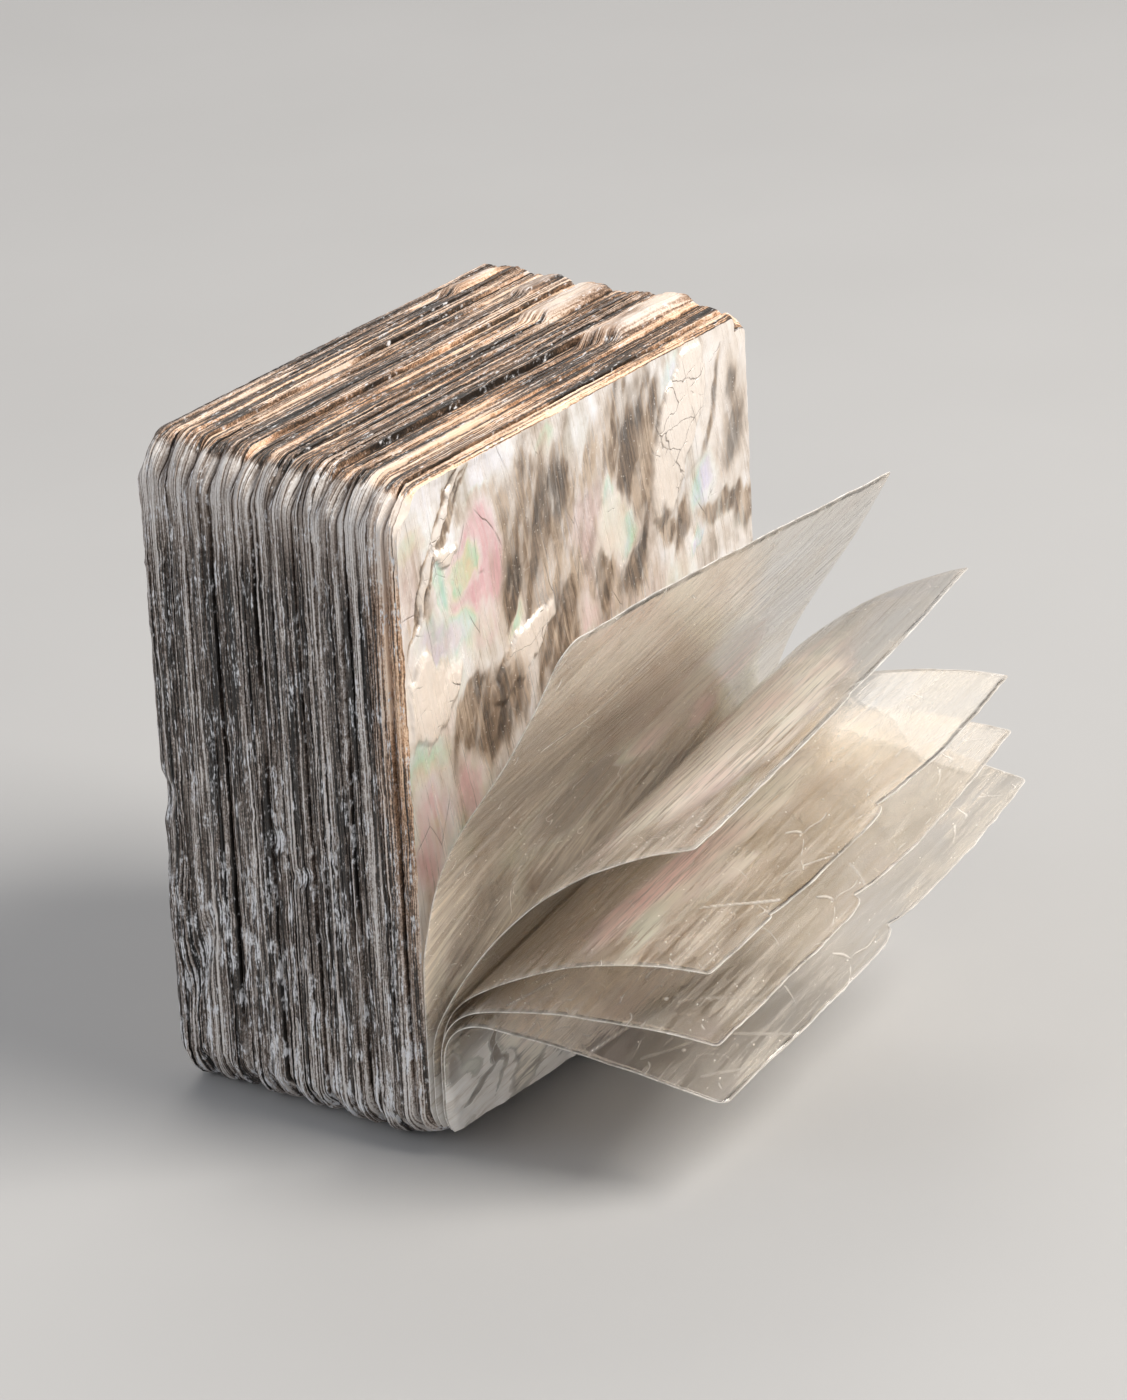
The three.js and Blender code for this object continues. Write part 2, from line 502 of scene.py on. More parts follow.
    def bump(self, height: Socket, depth: float, strength: float = 1.0) -> None:
        """Gives the surface a relief.

        Args:
            height: The relief, from 0 to 1.
            depth: Its depth in millimetres.
            strength: How much of it shows.
        """
        node = self.add("ShaderNodeBump")
        self.feed(node.inputs["Height"], height)
        node.inputs["Distance"].default_value = depth * MM
        node.inputs["Strength"].default_value = strength
        self.feed(self.surface.inputs["Normal"], node.outputs[0])

    def turned(self, coords: Socket, degrees: float) -> Socket:
        """Turns coordinates about the Y axis, so that a stretched pattern leans.

        Args:
            coords: The coordinates.
            degrees: How far they turn.

        Returns:
            The turned coordinates.
        """
        node = self.add("ShaderNodeMapping", vector_type="POINT")
        self.feed(node.inputs["Vector"], coords)
        node.inputs["Rotation"].default_value = (0.0, math.radians(degrees), 0.0)
        return node.outputs[0]


@dataclass(frozen=True)
class EdgeFinish:
    """The book's sides: stacked layer edges, grey brown, golden on top with painted highlights, white
    where bruised.
    """

    grey: Ramp = (
        (0.00, (0.006, 0.005, 0.004)),
        (0.30, (0.028, 0.023, 0.020)),
        (0.50, (0.090, 0.078, 0.069)),
        (0.72, (0.300, 0.282, 0.268)),
        (1.00, (0.760, 0.755, 0.750)),
    )
    # The gold ramp's bright end paints the top's highlights; the gold is partly the layers' own warm
    # colour.
    gold: Ramp = (
        (0.00, (0.020, 0.013, 0.009)),
        (0.26, (0.085, 0.052, 0.032)),
        (0.48, (0.290, 0.165, 0.095)),
        (0.72, (0.690, 0.400, 0.230)),
        (1.00, (1.000, 0.740, 0.530)),
    )
    frost: Colour = (0.88, 0.88, 0.90)

    def build(self) -> bpy.types.Material:
        """Lays out the finish.

        Returns:
            The material. It reads tone, warmth, frost and calm from the painted values.
        """
        desk = Desk("packed edges")
        tone, warm, frost, calm = desk.look()
        coords = desk.place()
        hair = desk.noise(desk.stretched(coords, (0.05, 6.0, 0.05)), 2.0, 0.6)
        lines = desk.noise(desk.stretched(coords, (0.04, 1.7, 0.04)), 3.0, 0.7)
        grit = desk.noise(desk.stretched(coords, (1.6, 4.0, 1.6)), 3.0, 0.65)
        dash = desk.noise(desk.stretched(coords, (0.40, 4.6, 0.40)), 3.0, 0.7)
        sand = desk.noise(desk.stretched(coords, (4.5, 7.0, 4.5)), 1.0)
        streaks = desk.sway(desk.sway(desk.sway(0.0, hair, 3.0), lines, 2.1), grit, 0.8)
        streaks = desk.sway(streaks, sand, 0.9)
        busy = desk.math("SUBTRACT", 1.0, desk.math("MULTIPLY", calm, 0.85))
        shade = desk.math("ADD", tone, desk.math("MULTIPLY", streaks, busy))
        colour = desk.mix(warm, desk.ramp(shade, self.grey), desk.ramp(shade, self.gold))
        dust = desk.sway(desk.sway(desk.math("MULTIPLY", frost, 0.42), dash, 1.6), grit, 1.2)
        dust = desk.ease(dust, 0.14, 0.46)
        colour = desk.mix(dust, colour, self.frost)
        surface = desk.surface
        desk.feed(surface.inputs["Base Color"], colour)
        desk.feed(surface.inputs["Roughness"], desk.math("ADD", 0.36, desk.math("MULTIPLY", dust, 0.3)))
        surface.inputs["IOR"].default_value = MICA_IOR
        relief = desk.math("ADD", desk.math("MULTIPLY", hair, 0.8), desk.math("MULTIPLY", lines, 0.8))
        relief = desk.math("ADD", relief, desk.math("MULTIPLY", grit, 0.4))
        desk.bump(relief, depth=0.22, strength=0.9)
        return desk.material


@dataclass(frozen=True)
class PearlFinish:
    """The cleavage faces: silver white pearl with smoky, rosy, green and cream places."""

    pearl: Ramp = (
        (0.12, (0.30, 0.24, 0.19)),
        (0.38, (0.60, 0.52, 0.45)),
        (0.60, (0.86, 0.82, 0.79)),
        (0.85, (0.97, 0.97, 1.00)),
    )
    smoke: Ramp = (
        (0.32, (0.065, 0.050, 0.041)),
        (0.50, (0.285, 0.208, 0.150)),
        (0.68, (0.600, 0.480, 0.375)),
    )
    film: Ramp = (
        (0.06, (0.80, 0.46, 0.50)),
        (0.28, (0.84, 0.58, 0.57)),
        (0.46, (0.78, 0.69, 0.45)),
        (0.64, (0.44, 0.74, 0.48)),
        (0.80, (0.52, 0.78, 0.72)),
        (0.95, (0.68, 0.64, 0.84)),
    )
    cream: Colour = (0.93, 0.83, 0.74)
    crack: Colour = (0.16, 0.115, 0.085)
    dust: Colour = (0.95, 0.90, 0.84)
    lean: float = 11.0
    cross_lean: float = -35.0

    def build(self) -> bpy.types.Material:
        """Lays out the finish.

        Returns:
            The material. It reads smoke, film, cream and hue from the painted values.
        """
        desk = Desk("pearl face")
        smoke, film, cream, hue = desk.look()
        flat = desk.warped(desk.place(), 0.06, 2.4)
        coords = desk.turned(flat, self.lean)
        fibre = desk.noise(desk.stretched(coords, (2.6, 0.5, 0.09)), 5.0, 0.65)
        column = desk.noise(desk.stretched(coords, (0.30, 0.1, 0.045)), 3.0, 0.55)
        blotch = desk.noise(desk.stretched(flat, (0.17, 0.1, 0.13)), 5.0, 0.6)
        pale = desk.sway(desk.sway(desk.sway(0.64, column, 1.3), fibre, 0.6), blotch, 1.5)
        colour = desk.ramp(pale, self.pearl)
        tint = desk.sway(desk.sway(hue, blotch, 0.8), column, 0.5)
        tinted = desk.math("MULTIPLY", film, desk.sway(0.70, fibre, 1.6), clamp=True)
        colour = desk.mix(tinted, colour, desk.ramp(tint, self.film))
        veil = desk.math("MULTIPLY", smoke, desk.sway(desk.sway(1.15, fibre, 2.4), blotch, 1.6))
        paler = desk.math("SUBTRACT", 0.76, desk.math("MULTIPLY", smoke, 0.32))
        cloudy = desk.sway(desk.sway(paler, fibre, 0.75), blotch, 1.0)
        colour = desk.mix(desk.ease(veil, 0.0, 1.0), colour, desk.ramp(cloudy, self.smoke))
        creamy = desk.sway(desk.math("MULTIPLY", cream, 0.9), column, 0.8)
        colour = desk.mix(desk.math("MAXIMUM", creamy, 0.0, clamp=True), colour, self.cream)
        bent = desk.warped(coords, 0.5, 1.6)
        split = desk.cracks(desk.stretched(bent, (0.12, 0.3, 0.34)), width=0.018)
        split = desk.math("MULTIPLY", split, desk.ease(desk.sway(cream, blotch, 4.0), 0.72, 1.10))
        scratch = desk.cracks(desk.stretched(coords, (0.16, 0.1, 0.045)), width=0.006)
        scratch = desk.math("MULTIPLY", scratch, desk.ease(blotch, 0.46, 0.60))
        dark = desk.math("MAXIMUM", desk.math("MULTIPLY", split, 0.7), desk.math("MULTIPLY", scratch, 0.6))
        colour = desk.mix(dark, colour, self.crack)
        dust = desk.specks(desk.stretched(flat, (2.6, 0.1, 2.6)), share=0.55, size=0.22)
        crossing = desk.turned(flat, self.cross_lean)
        graze = desk.cracks(desk.stretched(crossing, (0.20, 0.1, 0.06)), width=0.006)
        graze = desk.math("MULTIPLY", graze, desk.ease(fibre, 0.44, 0.62))
        dust = desk.math("MAXIMUM", dust, desk.math("MULTIPLY", graze, 0.4))
        colour = desk.mix(desk.math("MULTIPLY", dust, 0.5), colour, self.dust)
        surface = desk.surface
        desk.feed(surface.inputs["Base Color"], colour)
        desk.feed(surface.inputs["Roughness"], desk.sway(0.34, fibre, 0.7))
        surface.inputs["Metallic"].default_value = 0.25
        surface.inputs["IOR"].default_value = MICA_IOR
        surface.inputs["Coat Weight"].default_value = 0.35
        surface.inputs["Coat Roughness"].default_value = 0.14
        relief = desk.math("ADD", desk.math("MULTIPLY", column, 1.6), desk.math("MULTIPLY", fibre, 0.22))
        relief = desk.math("ADD", relief, blotch)
        relief = desk.math("SUBTRACT", relief, desk.math("MULTIPLY", dark, 0.35))
        desk.bump(relief, depth=0.5, strength=0.8)
        return desk.material


@dataclass(frozen=True)
class LeafFinish:
    """A cleaved leaf: clear, smoky beige, streaked along its length, with white rims and dust, and painted
    highlights and shade in its sheen.
    """

    tint: Colour = (0.975, 0.94, 0.895)
    dark: Colour = (0.92, 0.86, 0.78)
    veil: Colour = (1.00, 0.87, 0.71)
    white: Ramp = (
        (0.30, (0.60, 0.53, 0.46)),
        (0.46, (0.88, 0.84, 0.79)),
        (0.65, (0.98, 0.96, 0.93)),
    )
    # The film ramp colours the painted places: on the first three leaves mostly painted highlights, with
    # its dark last stop as painted shade; on the fifth leaf's foot, its own tints and dark lines.
    film: Ramp = (
        (0.15, (0.92, 0.60, 0.57)),
        (0.38, (1.00, 0.92, 0.80)),
        (0.60, (0.76, 0.84, 0.68)),
        (0.78, (0.88, 0.84, 0.80)),
        (0.92, (0.16, 0.12, 0.09)),
    )

    def build(self) -> bpy.types.Material:
        """Lays out the finish.

        Returns:
            The material. It reads rim, veil, film and hue from the painted values.
        """
        desk = Desk("clear leaf")
        rim, veil, film, hue = desk.look()
        coords = desk.add("ShaderNodeTexCoord").outputs["UV"]
        streak = desk.noise(desk.stretched(coords, (0.07, 0.9, 1.0), CHART_UNIT), 4.0, 0.65)
        hair = desk.noise(desk.stretched(coords, (0.25, 5.0, 1.0), CHART_UNIT), 3.0, 0.6)
        cloud = desk.noise(desk.stretched(coords, (0.10, 0.13, 1.0), CHART_UNIT), 4.0, 0.55)
        silk = desk.noise(desk.stretched(coords, (0.14, 10.0, 1.0), CHART_UNIT), 3.0, 0.6)
        bent = desk.swirled(coords, 0.09, 5.0)
        scratch = desk.cracks(desk.stretched(bent, (0.035, 0.11, 1.0), CHART_UNIT), width=0.009)
        broken = desk.noise(desk.stretched(coords, (0.4, 0.4, 1.0), CHART_UNIT), 1.0)
        scratch = desk.math("MULTIPLY", scratch, desk.ease(broken, 0.42, 0.60))
        dust = desk.specks(desk.stretched(coords, (1.1, 1.1, 1.0), CHART_UNIT), share=0.6)
        fines = desk.specks(desk.stretched(coords, (2.9, 2.9, 1.0), CHART_UNIT), share=0.5, size=0.16)
        dust = desk.math("MAXIMUM", dust, desk.math("MULTIPLY", fines, desk.ease(cloud, 0.35, 0.65)))
        white = desk.math("MAXIMUM", rim, desk.math("MULTIPLY", dust, 0.9))
        white = desk.math("MAXIMUM", white, desk.math("MULTIPLY", scratch, 0.7))
        haze = desk.sway(desk.sway(desk.sway(veil, streak, 1.6), hair, 0.8), cloud, 1.3)
        haze = desk.sway(haze, silk, 0.6)
        haze = desk.math("MAXIMUM", haze, 0.0, clamp=True)
        strands = desk.sway(desk.sway(streak, hair, 0.5), silk, 0.3)
        # Where the film is painted it shows streaked: painted highlights and painted shade on the first
        # three leaves, tints on the fifth leaf's foot.
        sheen = desk.math("MULTIPLY", film, desk.ease(strands, 0.22, 0.56))
        solid = desk.math("MAXIMUM", desk.math("MULTIPLY", haze, 0.68), white)
        solid = desk.math("MAXIMUM", solid, desk.math("MULTIPLY", sheen, 0.96))
        colour = desk.mix(desk.ease(streak, 0.35, 0.62), self.dark, self.tint)
        colour = desk.mix(haze, colour, self.veil)
        tone = desk.sway(hue, cloud, 0.5)
        colour = desk.mix(sheen, colour, desk.ramp(tone, self.film))
        colour = desk.mix(white, colour, desk.ramp(desk.sway(streak, hair, 0.5), self.white))
        surface = desk.surface
        desk.feed(surface.inputs["Base Color"], colour)
        desk.feed(surface.inputs["Transmission Weight"], desk.math("SUBTRACT", 1.0, solid, clamp=True))
        rough = desk.math("ADD", 0.015, desk.math("MULTIPLY", haze, 0.20))
        desk.feed(surface.inputs["Roughness"], desk.math("ADD", rough, desk.math("MULTIPLY", white, 0.3)))
        surface.inputs["IOR"].default_value = MICA_IOR
        relief = desk.math("ADD", streak, desk.math("MULTIPLY", hair, 0.15))
        desk.bump(relief, depth=0.03, strength=0.7)
        return desk.material


@dataclass(frozen=True)
class FloorFinish:
    """A plain pale floor, a little uneven in tone."""

    light: Colour = (0.50, 0.495, 0.49)
    dark: Colour = (0.465, 0.46, 0.455)

    def build(self) -> bpy.types.Material:
        """Lays out the finish.

        Returns:
            The material.
        """
        desk = Desk("pale floor")
        mottle = desk.noise(desk.stretched(desk.place(), (0.02, 0.02, 0.02)), 3.0)
        desk.feed(desk.surface.inputs["Base Color"], desk.mix(mottle, self.dark, self.light))
        desk.surface.inputs["Roughness"].default_value = 0.7
        return desk.material


# ---- The book -------------------------------------------------------------------------------


def square_loop(across: int, up: int) -> tuple[Array, Array]:
    """Lists a grid's border, counterclockwise from its first corner.

    Args:
        across: Cells in the first direction.
        up: Cells in the second.

    Returns:
        First and second index of each border point.
    """
    i = np.concatenate([np.arange(across), np.full(up, across), np.arange(across, 0, -1), np.zeros(up)])
    j = np.concatenate([np.zeros(across), np.arange(up), np.full(across, up), np.arange(up, 0, -1)])
    return i.astype(int), j.astype(int)


@dataclass(frozen=True)
class Outline:
    """The book's rounded outline in X and Z, before its packets stand back from it."""

    width: float = 62.0
    height: float = 72.6
    rise: float = 1.3
    lower_left: float = 5.0
    lower_right: float = 4.0
    upper_right: float = 3.4
    upper_left: float = 5.2

    def rim(self, u: Array, v: Array) -> tuple[Array, Array, Array, Array]:
        """Finds the rim beyond places of a square from -1 to 1.

        The square's border is wrapped round the outline: each side keeps its length, and the
        stretch next to a corner, as long as the corner's radius, covers half of its arc.

        Args:
            u: Places across.
            v: Places up.

        Returns:
            X and Z on the rim, and the outward normal's X and Z.
        """
        reach = np.maximum(np.maximum(np.abs(u), np.abs(v)), 1e-9)
        a, b = u / reach, v / reach
        edge = 1.0 - 1e-9
        side = np.select([b <= -edge, a >= edge, b >= edge], [0, 1, 2], 3)
        share = np.choose(side, [(a + 1) / 2, (b + 1) / 2, (1 - a) / 2, (1 - b) / 2])
        w, h = self.width, self.height
        length = np.array([w, h, w, h])[side]
        radii = np.array([self.lower_left, self.lower_right, self.upper_right, self.upper_left])
        first, last = radii[side], np.roll(radii, -1)[side]
        start = np.array([[0, 0], [w, 0], [w, h], [0, h]])[side]
        along = np.array([[1, 0], [0, 1], [-1, 0], [0, -1]])[side]
        outward = np.array([[0, -1], [1, 0], [0, 1], [-1, 0]])[side]
        t = share * length
        turn = np.minimum(t / first - 1.0, 0.0) + np.maximum(1.0 - (length - t) / last, 0.0)
        angle = turn * math.pi / 4
        radius = np.where(turn < 0, first, last)
        centre = np.where(turn < 0, first, length - last)
        t = np.where(turn == 0, t, centre + radius * np.sin(angle))
        inset = radius * (1.0 - np.cos(angle))
        place = start + along * t[..., None] - outward * inset[..., None]
        normal = outward * np.cos(angle)[..., None] + along * np.sin(angle)[..., None]
        return place[..., 0], place[..., 1], normal[..., 0], normal[..., 1]

    def climb(self, x: Array, z: Array) -> Array:
        """Raises Z by the rise times its share of the width and of the height.

        Args:
            x: X of the places.
            z: Z of the places.

        Returns:
            The raised Z.
        """
        return z + self.rise * (x / self.width) * (z / self.height)


@dataclass(frozen=True)
class Patch:
    """A place on a face: its middle, half sizes and lean, and how it looks."""

    x: float
    z: float
    wide: float
    tall: float
    lean: float = 0.0
    soft: float = 0.8
    smoke: float = 0.0
    film: float = 0.0
    hue: float = 0.5
    cream: float = 0.0
    lift: float = 0.0
    line: float = 0.0

    def weight(self, x: Array, z: Array) -> Array:
        """How much a place belongs to the patch: 1 inside, easing to 0 beyond its border.

        The distance from the middle, in half sizes, is measured along axes that lean.

        Args:
            x: X of the places, already moved about a little by noise.
            z: Z of the places.

        Returns:
            Weights from 0 to 1.
        """
        turn = math.radians(self.lean)
        dx, dz = x - self.x, z - self.z
        across = (dx * math.cos(turn) - dz * math.sin(turn)) / self.wide
        up = (dx * math.sin(turn) + dz * math.cos(turn)) / self.tall
        return 1.0 - smooth(np.hypot(across, up), 1.0 - 0.6 * self.soft, 1.0 + 0.6 * self.soft)


@dataclass
class Face:
    """The look of a cleavage face: terraces, flakes and coloured places."""

    seed: int
    patches: tuple[Patch, ...] = ()
    step: float = 0.10
    plain_smoke: float = 0.12
    rough: float = 0.0

    def __post_init__(self) -> None:
        """Draws the face's noise."""
        self.grain = Grain(self.seed)

    def relief(self, x: Array, z: Array) -> tuple[Array, Array]:
        """Works out the face's relief and paint.

        Terraces are leaning, stretched noise rounded to whole steps. Patches add their lift
        and looks where their weight, read at places shifted by noise, is above nothing.

        Args:
            x: X of the places.
            z: Z of the places.

        Returns:
            How far the face stands out, and the painted smoke, film, cream and hue.
        """
        grain = self.grain
        lean = x - 0.18 * z
        shift_x = 5.5 * (grain.layered(x / 8.0, 0.5, z / 11.0, 6) - 0.5)
        shift_z = 9.0 * (grain.layered(x / 9.0, 7.5, z / 12.0, 6) - 0.5)
        shift_z = shift_z + 4.0 * (grain.layered(lean / 1.5, 9.5, z / 9.0, 3) - 0.5)
        mottle = 0.55 + 0.9 * grain.layered(lean / 1.6, 17.0, z / 6.0, 5)
        levels = 5.0 * grain.layered(lean / 9.0, 3.0, z / 22.0, 3)
        terrace = (np.floor(levels) + smooth(levels % 1.0, 0.80, 1.0)) * self.step
        ripple = 0.10 * (grain.layered(lean / 5.0, 11.0, z / 17.0) - 0.5)
        lift = terrace - 2.5 * self.step + ripple
        lift = lift + self.rough * (grain.layered(x / 3.0, 5.0, z / 4.0, 4) - 0.5)
        smoke = self.plain_smoke + 0.45 * (grain.layered(lean / 6.0, 15.0, z / 14.0) - 0.5)
        film = 0.30 * smooth(grain.layered(x / 8.0, 21.0, z / 9.0), 0.45, 0.7)
        hue = grain.layered(x / 7.0, 31.0, z / 9.0, 2)
        cream = 0.35 * smooth(grain.layered(lean / 5.0, 41.0, z / 13.0), 0.52, 0.70)
        for patch in self.patches:
            weight = patch.weight(x + shift_x, z + shift_z)
            lift = lift + patch.lift * weight
            smoke = smoke + (patch.smoke * mottle - smoke) * weight
            film = (film + (patch.film * mottle - film) * weight) * (1.0 - 1.8 * weight * (1.0 - weight))
            cream = cream + (patch.cream - cream) * weight
            hue = hue + (patch.hue - hue) * weight
            smoke = smoke + patch.line * 4.0 * weight * (1.0 - weight)
        hue = hue + 0.5 * (grain.layered(lean / 2.2, 51.0, z / 5.0, 4) - 0.5) * (film > 0.3)
        flecks = smooth(grain.layered(lean / 0.9, 61.0, z / 4.0, 3), 0.50, 0.64)
        streaks = smooth(grain.layered(lean / 1.2, 67.0, z / 6.0, 3), 0.54, 0.70)
        smoke = smoke * (1.0 - 0.28 * flecks) + 0.28 * streaks * (1.0 - 0.8 * film) * (1.0 - 0.8 * cream)
        look = np.clip(np.stack([smoke, film, cream, hue], -1), 0.0, 1.0)
        return lift, look


@dataclass(frozen=True)
class Packet:
    """A thick bundle of layers, and how far its edges stand back from the outline."""

    thick: float
    left: float
    right: float
    top: float
    bottom: float


class Push(Enum):
    """Which way a scar pushes the surface."""

    DENT = 1.0
    BULGE = -1.0


@dataclass(frozen=True)
class Scar:
    """A bruise on the left side: where it is, how big, how deep and how white."""

    y: float
    z: float
    wide: float
    tall: float
    deep: float
    white: float
    slant: float = 0.0
    way: Push = Push.DENT

    def weight(self, y: Array, z: Array) -> Array:
        """How strongly places on the left side belong to the scar.

        The distance from its middle, in half sizes, goes through exp(-d^4).

        Args:
            y: Y of the places.
            z: Z of the places.

        Returns:
            Weights from 0 to 1.
        """
        across = (y - self.y - self.slant * (z - self.z)) / self.wide
        up = (z - self.z) / self.tall
        return np.exp(-((across**2 + up**2) ** 2))


@dataclass(frozen=True)
class Slab:
    """A raised slab in the top: its front and back, its ends and how far it rises."""

    front: float
    back: float
    left: float
    right: float
    rise: float

    def weight(self, x: Array, y: Array) -> Array:
        """How strongly places on the top belong to the slab.

        It is the product of four eased edges. The left end slants towards the back, and the
        right end fades out slowly.

        Args:
            x: X of the places.
            y: Y of the places.

        Returns:
            Weights from 0 to 1.
        """
        slanted = x + 0.8 * (y - self.front - 1.9)
        begun = smooth(slanted, self.left - 0.8, self.left + 0.8)
        ended = smooth(x, self.right - 3.5, self.right)
        past_front = smooth(y, self.front - 0.2, self.front + 0.2)
        past_back = smooth(y, self.back - 0.2, self.back + 0.2)
        return begun * (1.0 - ended) * past_front * (1.0 - past_back)


@dataclass
class Rows:
    """The rows of points from the book's front to its back: two on each layer, one between."""

    y: Array
    packet: Array
    layer: Array
    groove: Array


@dataclass
class EdgeSpots:
    """Places on the book's sides: where they are, which way they face and what marks them.

    Facing holds the normal's squared shares to the left, right, top and bottom. The rest are
    1 at the corners, each place's layer, groove and packet, how far it is from the book's
    front and back, and the chips, slabs and bruises that it belongs to.
    """

    x: Array
    y: Array
    z: Array
    nx: Array
    nz: Array
    facing: Array
    corner: Array
    layer: Array
    groove: Array
    packet: Array
    ends: Array
    chips: Array
    slab: Array
    rise: Array
    dent: Array
    white: Array


